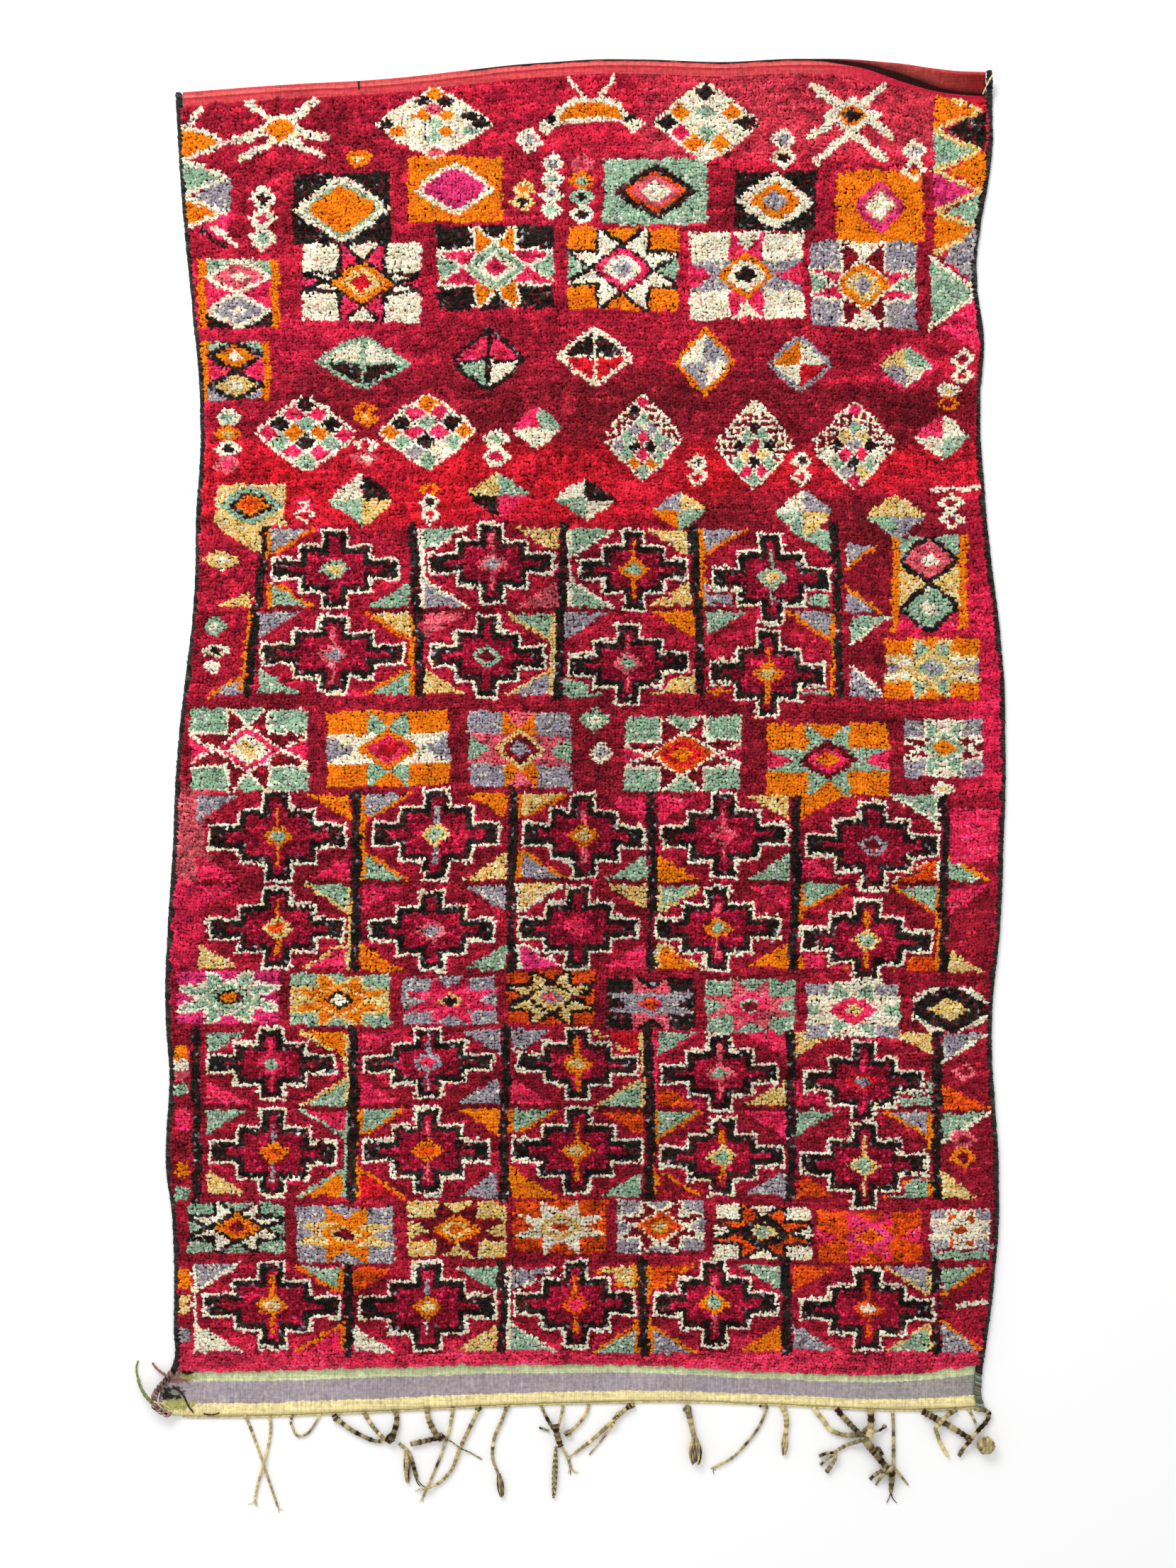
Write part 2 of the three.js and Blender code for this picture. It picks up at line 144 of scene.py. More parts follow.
# Motifs of the field, in knots across from the rug's middle and in rows of knots up from it
StarBox = namedtuple("StarBox", "left right top bottom dyes gap waist")
STAR_BOXES = table(
    StarBox,
    (-75.5, -42.5, 154, 132, "ckpccposr", 0.34, 0.18),
    (-38, -4.5, 158.5, 135.5, "kcopkggcp", 0.35, 0.38),
    (-0.5, 30.5, 158.5, 135, "okccogpcl", 0.43, 0.38), (33.5, 66, 157, 132.5, "c.plcpock", 0.3, 0.34),
    (68, 97.5, 154.5, 130.5, "lcmpcgosl", 0.37, 0.3), (89, 115.5, 42.5, 25.5, "osgcolsgl", 0.34, 0.36),
    (-107.5, -74, 22.5, -0.5, "gcmmgppcs", 0.33, 0.36), (-68.5, -34.5, 22, 0.5, "o.gcolopr", 0.33, 0.4),
    (-29, 0.5, 22, 0, "l.ottgsml", 0.32, 0.4), (15.5, 48, 20.5, 0, "gcmmgpfro", 0.36, 0.31),
    (55.5, 90, 18.5, -2, "o.ggopmpo", 0.35, 0.33), (94.5, 116.5, 19.5, 3, "lcgmcmgoo", 0.4, 0.3),
    (-111, -82, -51.5, -66, "xcggxxgko", 0.42, 0.4), (-79, -51, -52, -66.5, "gsoogsokc", 0.4, 0.4),
    (-47.5, -21, -52.5, -66.5, "l.ppllpsk", 0.4, 0.4), (-18, 7, -51.5, -66.5, "fkssffslt", 0.42, 0.4),
    (10.5, 35.5, -53.5, -67.5, "k.tlkklpf", 0.42, 0.4),
    (38.5, 63.5, -54, -68.5, "g.ttggpgm", 0.42, 0.4), (66.5, 93, -54.5, -70, "lcgccgpps", 0.42, 0.42),
    (-108, -80.5, -117.5, -131.5, "gkccggofm", 0.42, 0.4),
    (-77, -49.5, -118, -133.5, "l.osllosm", 0.42, 0.4), (-46, -18, -116.5, -132, "s.mmssoso", 0.4, 0.4),
    (-16, 10.5, -116, -130.5, "f.ccffscf", 0.42, 0.4), (13.5, 38, -116.5, -131, "lcmmllfos", 0.42, 0.4),
    (41, 68, -118, -133, "ckffccksg", 0.42, 0.36), (69.5, 99.5, -119, -133.5, "f.pffpxof", 0.42, 0.4),
    (102, 119, -119, -130, "lcfcclcof", 0.4, 0.36),
)

LozengeBox = namedtuple("LozengeBox", "left right top bottom dyes across up")
LOZENGE_BOXES = table(
    LozengeBox,
    (-78, -50.5, 174, 154, "kcgoo", 0.98, 0.96), (-46, -19, 178, 159.5, "ocxxx", 0.86, 0.8),
    (9.5, 38.5, 178, 159.5, "gkftc", 0.78, 0.82), (46, 69.5, 174.5, 157.5, "kccol", 0.95, 0.96),
    (75.5, 100, 174.5, 154.5, "oxtcc", 0.58, 0.74), (-100, -80.5, 86, 74, "sgkof", 0.9, 0.95),
    (96.5, 117.5, -55.5, -68.5, ".ckks", 1.35, 1.35),
)

CrossedBox = namedtuple("CrossedBox", "left right top bottom dyes")
CROSSED_BOXES = table(
    CrossedBox,
    (-105, -82, 149.5, 130, "ocgtplk"), (-105, -85, 126, 109.5, "okgopsl"),
    (90.5, 112, 71, 44.5, "okgtsgp"),
)

Quartered = namedtuple("Quartered", "left right top bottom dyes")
QUARTERED = table(
    Quartered,
    (-72, -45, 128, 113, "gcckkg"), (-34, -13, 130.5, 112, "kppgck"), (-4.5, 18, 130, 113.5, "ckkrrc"),
    (29.5, 46.5, 130, 111, "ocllc."), (55.5, 73.5, 128, 112, "loccr."), (85, 104, 127, 112.5, "psglc."),
    (-16.5, -2.5, 108, 95.5, ".pgcc."), (97.5, 113, 106, 93, ".pccg."), (-68, -49.5, 89, 74, ".ckgs."),
    (-29, -11.5, 89, 76, ".sgkp."), (-4.5, 13, 87.5, 76, ".ckgc."), (23, 39, 84.5, 73.5, ".lsog."),
    (58, 74, 84.5, 70.5, ".clgs."), (83.5, 100, 83, 70.5, ".ssgl."),
)

Checked = namedtuple("Checked", "left right top bottom cells")
CHECKED = table(
    Checked,
    (-55, -22, 198, 177, "o kk ctc cook kcgck ocog cgc cc t"),
    (23.5, 53, 199.5, 176.5, "k cc ogo kcck pgc oo c"),
    (-89.5, -60, 111, 89.5, "k pp kgk poop gkg pp g"), (-54, -26, 112, 89.5, "o pp kgk oppo gkg lc g"),
    (9, 31.5, 111.5, 87.5, "p kh hgh hllh hgpgh lkkl gpg oo g"),
    (41, 63, 110, 84.5, "c hh hkh hggh hkpkh hssh gkg pp g"),
    (68, 92, 109.5, 84.5, "p hh hgh hssh hklkh cppc gkg ls p"),
)

Spider = namedtuple("Spider", "column row tips trunk size rim legs body heart")
SPIDERS = [
    Spider(
        column=-82, row=186, trunk=-2.5, size=(13, 9), rim=(1.3, 2.6), legs="c", body="o", heart="o",
        tips=[(-10, 7.5), (10, 8), (-13.5, -3.5), (13, -2), (-11.5, -8.5), (12, -6.5)],
    ),
    Spider(
        column=79, row=190.5, trunk=-5.5, size=(17, 10.5), rim=(2.2, 3), legs="c", body="o", heart="k",
        tips=[(-11, 8), (8.5, 8), (-12, -6), (11.5, -6.5), (-10, -13), (10, -13)],
    ),
]

Chain = namedtuple("Chain", "column top bottom width dyes")
CHAINS = table(
    Chain,
    (-86.5, 170, 152.5, 8.5, "ck cp cg"), (-13, 171, 163, 7, "so sk"), (-5, 179, 161, 7, "cl cg cl cg"),
    (3.5, 179, 160, 7.5, "tp og gk ck"), (-59.5, 181, 176, 7.5, "os"), (-12, 186, 180, 8, "cl"),
    (59.5, 186.5, 176, 8, "cl ck"), (97.5, 182.5, 172, 8, "cl c."), (111, 124, 115, 7, "c. c."),
    (107, 115, 107.5, 7, "cs o."), (-97, 107, 89, 8, "cg os ck tp"), (-57.5, 109, 103, 8, "o. os"),
    (-57.5, 99, 92, 8, "c. tc"), (-20.5, 101, 91, 8, "cg cp"), (36, 94.5, 86.5, 6.5, "ck c."),
    (65.5, 94.5, 85.5, 6.5, "ck c."), (107.5, 82.5, 73.5, 8, "c. c."), (-75, 82, 75.5, 7, "pc c."),
    (-39.5, 86, 75, 6.5, "o. ck c."), (7, 23, 17.5, 9, "gc"), (9, 13.5, 8, 7, "cl"),
    (105, 1.5, -2, 8, "cs"), (-98.5, 66.5, 62, 10.5, "sc"), (-100.5, 48, 43, 7, "gc"),
    (-100, 40.5, 37, 9.5, "ck"), (-101.5, 36, 32.5, 6, "cc"), (111, -78, -82, 7, "t."),
    (111, -97, -107, 8, "t. o."),
)

Zigzag = namedtuple("Zigzag", "left right top bottom left_dyes right_dyes line")
ZIGZAGS = table(
    Zigzag,
    (-110, -96, 187, 158, "ogo", "..lp", "c"), (103, 117.5, 197, 151, "ogxo", "rkog", "s"),
    (101.5, 116.5, 149.5, 131, "g", "lp", "c"),
)

# Panels of stepped diamonds between black bars; the bars lean a little, so each has two ends
Panel = namedtuple("Panel", "top middle bottom left right bars cells")
Cell = namedtuple("Cell", "column row width height corners strips heart")
PANELS = [
    Panel(
        top=74, middle=50.5, bottom=26, left=-86, right=76,
        bars=[(-86, -91), (-44.5, -42.5), (-2, -3.5), (35, 36.5), (74, 76)],
        cells=table(
            Cell,
            (-66.5, 62, 36.5, 23, "l.gg", "o.", "gs."), (-22.5, 63.5, 36, 23, "gslt", "c.", "tlt"),
            (18, 62, 32, 24, "gsgs", "c.", "ogo"), (56.5, 59, 33.5, 26, "lglg", "o.", "gsg"),
            (-67, 38, 41, 22.5, "lsgg", ".o", "tlt"), (-23.5, 37.5, 33, 24.5, "tgsl", ".s", "gm."),
            (16, 35.5, 34, 23, "logs", "..", "tgt"), (55.5, 32.5, 33.5, 25, "glog", ".o", "oso"),
        ),
    ),
    Panel(
        top=-1, middle=-26.5, bottom=-51.5, left=-107, right=118,
        bars=[(-60.5, -60.5), (-16.5, -16.5), (23, 23), (63.5, 63), (105.5, 105.5)],
        cells=table(
            Cell,
            (-83, -13.5, 39.5, 26.5, "lopp", "..", "ogo"), (-38, -13, 36.5, 26, "logs", "o.", "sgl"),
            (3.5, -13.5, 35.5, 25.5, "splg", "o.", "ost"), (43.5, -13, 36, 25, "psog", "..", "tpt"),
            (85, -16, 38.5, 25.5, "ogpf", ".c", "lm."), (-83, -39.5, 40, 23.5, "pgsp", ".s", "sfo"),
            (-39, -39.5, 36, 23.5, "plog", "..", "tl."), (2, -39.5, 34, 24, "ssxp", "c.", "pp."),
            (41.5, -39.5, 36, 24.5, "gpoo", "s.", "ogt"), (83.5, -42.5, 38, 23.5, "ggpf", "oo", "sgo"),
        ),
    ),
    Panel(
        top=-67.5, middle=-90, bottom=-116, left=-104.5, right=118,
        bars=[(-61.5, -61.5), (-18.5, -18.5), (22, 22), (62, 62), (103.5, 103.5)],
        cells=table(
            Cell,
            (-84.5, -77.5, 36.5, 21, "gopg", ".s", "pgp"),
            (-40.5, -77.5, 37.5, 21, "plpl", "..", "lpl"), (2, -77.5, 34.5, 21, "lrpg", ".s", "oso"),
            (42, -80, 33.5, 22.5, "gpfs", "p.", "tgt"), (82.5, -82.5, 34, 24, "sspg", "..", "rlp"),
            (-84, -103, 37, 26, "gpso", ".g", "ofl"), (-40.5, -102.5, 36.5, 25, "gorl", "o.", "oft"),
            (2, -102, 37, 25, "gfog", "o.", "oso"), (42.5, -104, 35.5, 23.5, "gpml", "o.", "sgo"),
            (83, -106, 36.5, 25, "glfg", ".o", "sgs"),
        ),
    ),
    Panel(
        top=-134, middle=None, bottom=-159.5, left=-108, right=117,
        bars=[(-63, -63), (-19.5, -19.5), (20.5, 20.5), (61, 61), (103, 103)],
        cells=table(
            Cell,
            (-84.5, -146, 38.5, 24.5, "lgcp", "co", "oso"),
            (-40.5, -146, 39.5, 26, "fgcs", "..", "osl"), (1, -145, 35, 25.5, "lsgg", "co", "fpo"),
            (41, -145.5, 35.5, 24.5, "fglo", "o.", "ogt"),
            (83.5, -147, 38.5, 24.5, "fllg", ".s", "fcf"),
        ),
    ),
]

# Loose triangles beside the panels, each from its square corner to its two points
Wedge = namedtuple("Wedge", "column row across up dye outline")
WEDGES = table(
    Wedge,
    (-87.5, 74, -13, -8, "s", GROUND), (-90.5, 51, -10, 4.5, "s", GROUND), (-92, 26, -10, 6, "l", "o"),
    (77.5, 69, 9, -7, "l", "o"), (77.5, 50, 10, 7, "l", "o"), (79, 49, 11, -8, "g", "c"),
    (79, 26, 11, 9, "l", "c"), (107, -26, 11, 7, "g", "o"), (107, -28, 11, -7, "p", "."),
    (107, -51.5, 10, 7, "s", "."), (105, -69, 13, -8, "l", "c"), (105, -91, 14, 7, "f", "."),
    (105, -92, 13, -8, "g", "c"), (105, -116, 11, 8, "s", "."), (104.5, -135, 12, -8, "g", "o"),
    (104.5, -159, 12, 9, "l", "o"),
)

Patch = namedtuple("Patch", "left right top bottom dye")
PATCHES = table(
    Patch,
    (107.5, 121, -6, -21, "p"), (102, 118, -130.5, -133, "g"), (-107, -104.5, -67, -123, "k"),
    (-112, -108, -72, -76, "o"), (-112, -108, -76, -79, "c"), (-112, -108, -79, -82, "t"),
    (-112, -108, -83, -86, "g"), (-112, -108, -90, -97, "p"), (-112, -108, -100, -104, "m"),
    (-112, -108, -106, -110, "o"), (-112, -108, -113, -117, "g"), (-110.5, -107.5, -136, -141, "o"),
    (-110.5, -107.5, -143, -148, "s"), (-110.5, -107.5, -152, -156, "l"),
)

Stroke = namedtuple("Stroke", "start end width dye")
STROKES = table(
    Stroke,
    ((101.5, 84), (115, 84.6), 1.2, "c"), ((-104.5, 191.5), (-108.5, 186), 1.6, "c"),
    ((-101, 159), (-94, 153.5), 1.4, "c"), ((-104, 158), (-97, 152.5), 1.2, "k"),
    ((109, -146), (118, -145), 1.4, "c"), ((-90.5, 49), (-92.7, 28), 1.3, "o"),
)

Arch = namedtuple("Arch", "column row width height rim fill ends")
ARCHES = [Arch(5.5, 187, 24, 9, "c", "o", "k")]

# Warp ends as they lie on the floor, in millimetres: the way they take, how thick and how dark they
# start and end, and whether the end has come apart
Yarn = namedtuple("Yarn", "places width end_width tone end_tone finish", defaults=[""])
YARNS = table(
    Yarn,
    ([(-613, -1180), (-596, -1222), (-572, -1292), (-551, -1354)], 6, 4.5, 0.3, 0.45, "split"),
    ([(-566, -1180), (-567, -1230), (-587, -1305), (-594, -1339)], 6, 5, 0.2, 0.2, "frayed"),
    ([(-523, -1180), (-524, -1202), (-501, -1219), (-470, -1179)], 5, 5, 0.6, 0.35),
    ([(-445, -1180), (-433, -1193), (-387, -1222), (-354, -1231)], 11, 7, 0.8, 0.55),
    ([(-389, -1176), (-368, -1207), (-344, -1230)], 8, 7, 0.4, 0.6),
    ([(-333, -1171), (-327, -1190), (-337, -1226)], 8, 13, 0.45, 0.95),
    ([(-323, -1234), (-306, -1250), (-298, -1269), (-290, -1298)], 7, 8, 0.4, 0.8, "split"),
    ([(-301, -1235), (-273, -1229), (-244, -1222)], 10, 9, 0.8, 0.9),
    ([(-270, -1165), (-265, -1193), (-246, -1222)], 9, 12, 0.55, 0.95),
    ([(-222, -1165), (-225, -1190), (-239, -1243), (-277, -1334)], 7, 5, 0.3, 0.45, "split"),
    ([(-171, -1165), (-206, -1238), (-234, -1296), (-277, -1319)], 8, 6, 0.6, 0.35, "split"),
    ([(-233, -1225), (-206, -1242), (-167, -1265)], 3, 3, 0.7, 0.85),
    ([(-119, -1163), (-129, -1190), (-147, -1245), (-136, -1293)], 7, 6, 0.6, 0.35),
    ([(-56, -1163), (-43, -1190), (-28, -1212)], 6, 8, 0.7, 0.85),
    ([(-59, -1205), (-41, -1211)], 4, 5, 0.85, 0.85),
    ([(-29, -1196), (-25, -1217), (-19, -1239)], 13, 11, 0.95, 0.95),
    ([(-14, -1164), (-19, -1186), (-25, -1205)], 6, 6, 0.3, 0.5),
    ([(34, -1161), (24, -1186), (-6, -1217)], 6, 7, 0.35, 0.45),
    ([(-17, -1238), (-7, -1258), (0, -1280)], 6, 6, 0.3, 0.35, "frayed"),
    ([(118, -1159), (92, -1179), (50, -1219), (6, -1254)], 10, 6, 0.65, 0.3, "split"),
    ([(84, -1186), (69, -1214), (35, -1256)], 5, 3.5, 0.35, 0.2),
    ([(219, -1164), (226, -1195), (233, -1226)], 13, 9, 0.8, 0.45),
    ([(356, -1163), (366, -1176), (323, -1243), (273, -1279)], 6, 5, 0.7, 0.45, "frayed"),
    ([(397, -1163), (405, -1186), (404, -1218)], 11, 9, 0.35, 0.3),
    ([(456, -1167), (475, -1190), (500, -1214), (547, -1218)], 9, 9, 0.1, 0.75),
    ([(500, -1169), (523, -1195), (546, -1215)], 11, 10, 0.85, 0.9),
    ([(563, -1169), (564, -1195), (559, -1217)], 13, 14, 0.55, 0.65),
    ([(551, -1222), (571, -1250), (594, -1279)], 15, 12, 0.8, 0.9),
    ([(565, -1207), (578, -1209), (590, -1203)], 5, 5, 0.8, 0.85),
    ([(605, -1172), (607, -1214), (607, -1274)], 6, 7, 0.4, 0.5),
    ([(602, -1284), (603, -1305), (602, -1325)], 14, 8, 0.7, 0.95, "split"),
    ([(592, -1279), (578, -1287), (563, -1302)], 9, 6, 0.75, 0.9),
    ([(592, -1284), (583, -1297), (574, -1313)], 7, 5, 0.6, 0.85),
    ([(611, -1281), (621, -1295), (635, -1313)], 6, 4, 0.45, 0.6),
    ([(546, -1225), (518, -1238), (496, -1250)], 8, 6, 0.55, 0.6),
    ([(501, -1248), (484, -1252), (467, -1258)], 5, 7, 0.5, 0.85),
    ([(498, -1250), (483, -1262), (470, -1275)], 5, 6, 0.4, 0.7),
    ([(498, -1252), (494, -1267), (481, -1288)], 6, 9, 0.6, 0.9),
    ([(662, -1173), (685, -1186), (714, -1202), (749, -1224)], 13, 10, 0.8, 0.9),
    ([(726, -1170), (693, -1193), (690, -1219), (709, -1258)], 9, 7, 0.75, 0.1),
    ([(760, -1168), (786, -1183), (750, -1225), (730, -1258)], 9, 8, 0.9, 0.9),
    ([(747, -1169), (757, -1186), (763, -1204)], 6, 5, 0.6, 0.6),
)

# Knots in the warp ends, small tassels that close like buds, and one wound ball, in millimetres
Knot = namedtuple("Knot", "x y width tone")
KNOTS = table(
    Knot,
    (-339, -1224, 20, 0.95), (-440, -1188, 13, 0.95), (-244, -1222, 17, 0.95), (-173, -1168, 13, 0.75),
    (-119, -1165, 11, 0.75), (-5, -1215, 15, 0.55), (115, -1163, 12, 0.85), (89, -1181, 12, 0.85),
    (219, -1169, 16, 0.85), (557, -1213, 24, 0.6), (576, -1250, 22, 0.85), (602, -1285, 24, 0.65),
    (590, -1203, 9, 0.85), (693, -1191, 13, 0.85), (750, -1225, 14, 0.85),
)

Bud = namedtuple("Bud", "start end width tone")
BUDS = table(
    Bud,
    ((-309, -1246), (-307, -1308), 15, 0.35), ((-135, -1291), (-129, -1334), 15, 0.55),
    ((-28, -1240), (-32, -1338), 13, 0.3), ((233, -1222), (235, -1273), 28, 0.45),
    ((403, -1216), (401, -1257), 15, 0.45),
)
BALL = Knot(779, -1235, 36, 0.55)

# Ends of binding yarn that have come loose, with their height over the floor, and threads that lie on
# the cloth, in millimetres
Thread = namedtuple("Thread", "places width dye")
LOOSE_ENDS = table(
    Thread,
    ([(-784, -1150, 26), (-802, -1136, 12), (-814, -1114, 5)], 9, "green_yarn"),
    ([(-811, -1118, 5), (-817, -1097, 3), (-814, -1079, 2)], 5, "green_yarn"),
    ([(-755, -1106, 14), (-775, -1095, 7), (-787, -1083, 3)], 6.5, "brown_binding"),
)
THREADS = table(
    Thread,
    ([(-747, -1127), (-730, -1141), (-720, -1161), (-709, -1176)], 5, "binding"),
    ([(-778, -1148), (-764, -1158), (-749, -1168)], 4, "warp"),
    ([(-730, -1099), (-723, -1094), (-710, -1099)], 9, "dark_warp"),
    ([(-724, -1103), (-716, -1091)], 7, "binding"),
    ([(-690, -1178), (-674, -1180), (-660, -1176)], 3.5, "dark_warp"),
    ([(-399, 1327), (-398, 1312)], 5, "binding"), ([(789, 1331), (781, 1318), (774, 1301)], 4, "warp"),
)


def smoothstep(low, high, place):
    """0 below low, 1 above high, and smooth between."""
    t = np.clip((place - low) / (high - low), 0, 1)
    return t * t * (3 - 2 * t)


def along(table, place):
    """Value at a place, on a smooth curve through a table of (place, value) rows."""
    places, values = np.array(table, float).T
    before = np.maximum(np.arange(len(places)) - 1, 0)
    after = np.minimum(np.arange(len(places)) + 1, len(places) - 1)
    slopes = (values[after] - values[before]) / (places[after] - places[before])
    place = np.asarray(place, float)
    end = np.clip(np.searchsorted(places, place), 1, len(places) - 1)
    start = end - 1
    span = places[end] - places[start]
    t = np.clip((place - places[start]) / span, 0, 1)
    from_start = values[start] + slopes[start] * span * t
    from_end = values[end] - slopes[end] * span * (1 - t)
    return from_start + (from_end - from_start) * t * t * (3 - 2 * t)


def heading_depth(x):
    """How far the heading reaches in from the top edge; it is wider where it curls."""
    curled = smoothstep(CURL["low"], CURL["high"], x)
    return HEADING_WIDTH + (HEADING_WIDTH_AT_CURL - HEADING_WIDTH) * curled


def pile_bottom(x):
    """Where the knots start above the flat-woven end."""
    return along(BOTTOM_EDGE, x) + along(KILIM_DEPTH, x)


def pile_top(x):
    """Where the knots end below the heading."""
    return along(TOP_EDGE, x) - heading_depth(x)


def lift(x, y):
    """How far the cloth stands off the floor at the curled heading and the cupped corner."""
    curled = smoothstep(CURL["low"], CURL["high"], x)
    into_heading = 1 - (along(TOP_EDGE, x) - y) / heading_depth(x)
    along_cup = 1 - ((y - CUP["y"]) / CUP["length"]) ** 2
    into_cup = 1 - (x - along(LEFT_EDGE, y)) / CUP["width"]
    cup = np.maximum(along_cup, 0) * np.maximum(into_cup, 0) ** CUP["steepness"]
    return CURL["lift"] * curled * np.maximum(into_heading, 0) + CUP["lift"] * cup


# Slow waves on the pile's surface: their lengths across and up in metres, and their shift
PILE_WAVES = [(0.140, 0.230, 0), (0.210, -0.120, 1)]


def pile_height(x, y, height):
    """Height of the pile's tips, a little uneven, with the trough of the crease."""
    wave = sum(np.sin(x / across + y / up + shift) for across, up, shift in PILE_WAVES)
    across = np.maximum(1 - np.abs(x - CREASE["x"]) / CREASE["width"], 0)
    within = (y > CREASE["low"]) & (y < CREASE["high"])
    return height + PILE_UNEVENNESS * wave - CREASE["depth"] * across * within


def cloth_grid(across, up, y_at, inset):
    """Places of a grid on the cloth, from fractions across it and rows given by y_at(x, row)."""

    def x_at(y):
        left = along(LEFT_EDGE, y) + inset
        return left + (along(RIGHT_EDGE, y) - inset - left) * across

    x = x_at(np.zeros(len(up))[:, None])
    x = x_at(y_at(x, up))
    y = y_at(x, up)
    return x_at(y), y


class KnotChart:
    """The dye of each knot, painted motif over motif, in knots across and rows up."""

    def __init__(self, column, row):
        self.column = column
        self.row = row
        self.letter = np.full(column.shape, GROUND)

    def paint(self, mask, letter):
        """Ties the knots of a mask in a dye."""
        if letter != GROUND:
            self.letter[mask] = letter

    def block(self, left, right, top, bottom):
        """Mask of a rectangle."""
        across = (self.column >= left) & (self.column < right)
        return across & (self.row < top) & (self.row >= bottom)

    def filled(self, figure):
        """Mask of the rectangle between a figure's four sides."""
        return self.block(figure.left, figure.right, figure.top, figure.bottom)

    def lozenge(self, column, row, width, height, inset=0.0):
        """Mask of a lozenge with slightly full sides, drawn in by an inset."""
        across = np.abs(self.column - column) / (width / 2)
        up = np.abs(self.row - row) / (height / 2)
        return across**FULLNESS + up**FULLNESS <= 1 - inset * math.hypot(2 / width, 2 / height)

    def stroke(self, start, end, width):
        """Mask of a straight line of knots."""
        run, rise = end[0] - start[0], end[1] - start[1]
        offset = (self.column - start[0]) * run + (self.row - start[1]) * rise
        t = np.clip(offset / (run * run + rise * rise), 0, 1)
        across = self.column - start[0] - run * t
        up = self.row - start[1] - rise * t
        return across**2 + up**2 <= (width / 2) ** 2

    def triangle(self, *corners):
        """Mask of a triangle."""
        sides = []
        for (x, y), (next_x, next_y) in zip(corners, corners[1:] + corners[:1]):
            sides.append((self.column - x) * (next_y - y) - (self.row - y) * (next_x - x))
        return np.all(np.array(sides) >= 0, axis=0) | np.all(np.array(sides) <= 0, axis=0)

    def stepped(self, cell, inset):
        """Mask of a stepped diamond: tabs above and below, two shoulders and two arms."""
        mask = np.zeros(self.column.shape, bool)
        for width, height in STEPS:
            across = np.abs(self.column - cell.column) <= cell.width * width / 2 - inset
            mask |= across & (np.abs(self.row - cell.row) <= cell.height * height / 2 - inset)
        return mask


# Widths and heights of a stepped diamond's arms, shoulders and tabs, as shares of the whole
STEPS = [(1.0, 0.285), (0.58, 0.61), (0.22, 1.0)]

# Parts of the motifs: lines, insets and reaches in knots, the others as shares of the motif
FULLNESS = 1.15
CREAM_LAYER = 0.95
BLACK_LAYER = 1.6
HALO = 0.8
FILL_REACH = 0.37
BAR_WIDTH = 2.6
BAR_LIFT = 1.0
ROW_LINE = 0.7
ROW_GAP = 0.8
STRIP_WIDTH = 1.3
STEM_LINE = 0.6
VALLEY_WIDTH = 0.9
VALLEY_FOOT = 0.56
WEDGE_LINE = 1.1
HEART = (9.0, 6.4)
HEART_FILL = 0.56
STEM_REACH = 8.0
NO_STRIP_WIDTH = 0.3
CORNER = (12.0, 7.4)
VALLEY_LINE = 1.0
STAR_LINE = 1.0
STAR_HEIGHT = 1.05
STAR_RIM = 1.5
STAR_CORE = 0.40
LOZENGE_RIM = 1.6
LOZENGE_LINE = 2.5
LOZENGE_CORE = 0.38
CROSSED_BARS = 4.5
CROSSED_LINE = 1.0
CROSSED_CORE = (0.30, 0.32)
QUARTER_RIM = 1.3
QUARTER_LINES = (0.6, 0.4)
CHECK_REACH = 0.42
SMALL_CHECKS = 2.5
LEG_ROOTS = [(2.5, 2.5), (4.5, -0.5)]
LOW_LEG_ROOT = 0.8
LEG_WIDTH = 2.3
TRUNK_WIDTH = 3.0
ARCH_THICKNESS = 7.5
ARCH_RIM = 1.6
ARCH_FILL_REACH = 0.82
ARCH_END = {"place": 0.52, "rise": 0.5, "size": (6, 5)}
ARCH_SPOT = {"inward": 1, "rise": 2, "size": (3.5, 3.5)}
FEELER = {"root": 2.5, "tip": 6.5, "rise": 5, "width": 1.4}
LINK_OVERLAP = 1.3
LINK_HOLLOW = (0.48, 0.6)
TOOTH_REACH = 0.8
ZIGZAG_REACH = 0.9
ZIGZAG_LINE = 1.4


def extent(figure):
    """Middle column, middle row, width and height of a figure between four sides."""
    middle, centre = (figure.left + figure.right) / 2, (figure.top + figure.bottom) / 2
    return middle, centre, figure.right - figure.left, figure.top - figure.bottom


def tie_star_box(chart, box):
    """A box with blocks in its corners and an eight-pointed star between them."""
    corner, outline, point, side_point, valley, side_valley, rim, fill, core = box.dyes
    middle, centre, width, height = extent(box)
    half_width, half_height = width / 2, height / 2
    gap, waist = box.gap * half_width, box.waist * half_height
    whole = chart.filled(box)
    chart.paint(whole, corner)
    across, up = np.abs(chart.column - middle), np.abs(chart.row - centre)
    chart.paint(whole & ((across < gap + STAR_LINE) | (up < waist + STAR_LINE)), outline)
    chart.paint(whole & (across < gap), point)
    chart.paint(whole & (up < waist), side_point)
    for way in (-1, 1):
        reach = way * half_height
        ends = [(middle + side * gap * VALLEY_WIDTH, centre + reach) for side in (-1, 1)]
        tie_valley(chart, whole, ends, (middle, centre + reach * VALLEY_FOOT), valley, outline)
        reach = way * half_width
        ends = [(middle + reach, centre + side * waist * VALLEY_WIDTH) for side in (-1, 1)]
        tie_valley(chart, whole, ends, (middle + reach * VALLEY_FOOT, centre), side_valley, outline)
    size = (half_width, half_height * STAR_HEIGHT)
    for inset, dye in ((-HALO, outline), (0, rim), (STAR_RIM, fill)):
        chart.paint(chart.lozenge(middle, centre, *size, inset), dye)
    chart.paint(chart.lozenge(middle, centre, size[0] * STAR_CORE, size[1] * STAR_CORE), core)


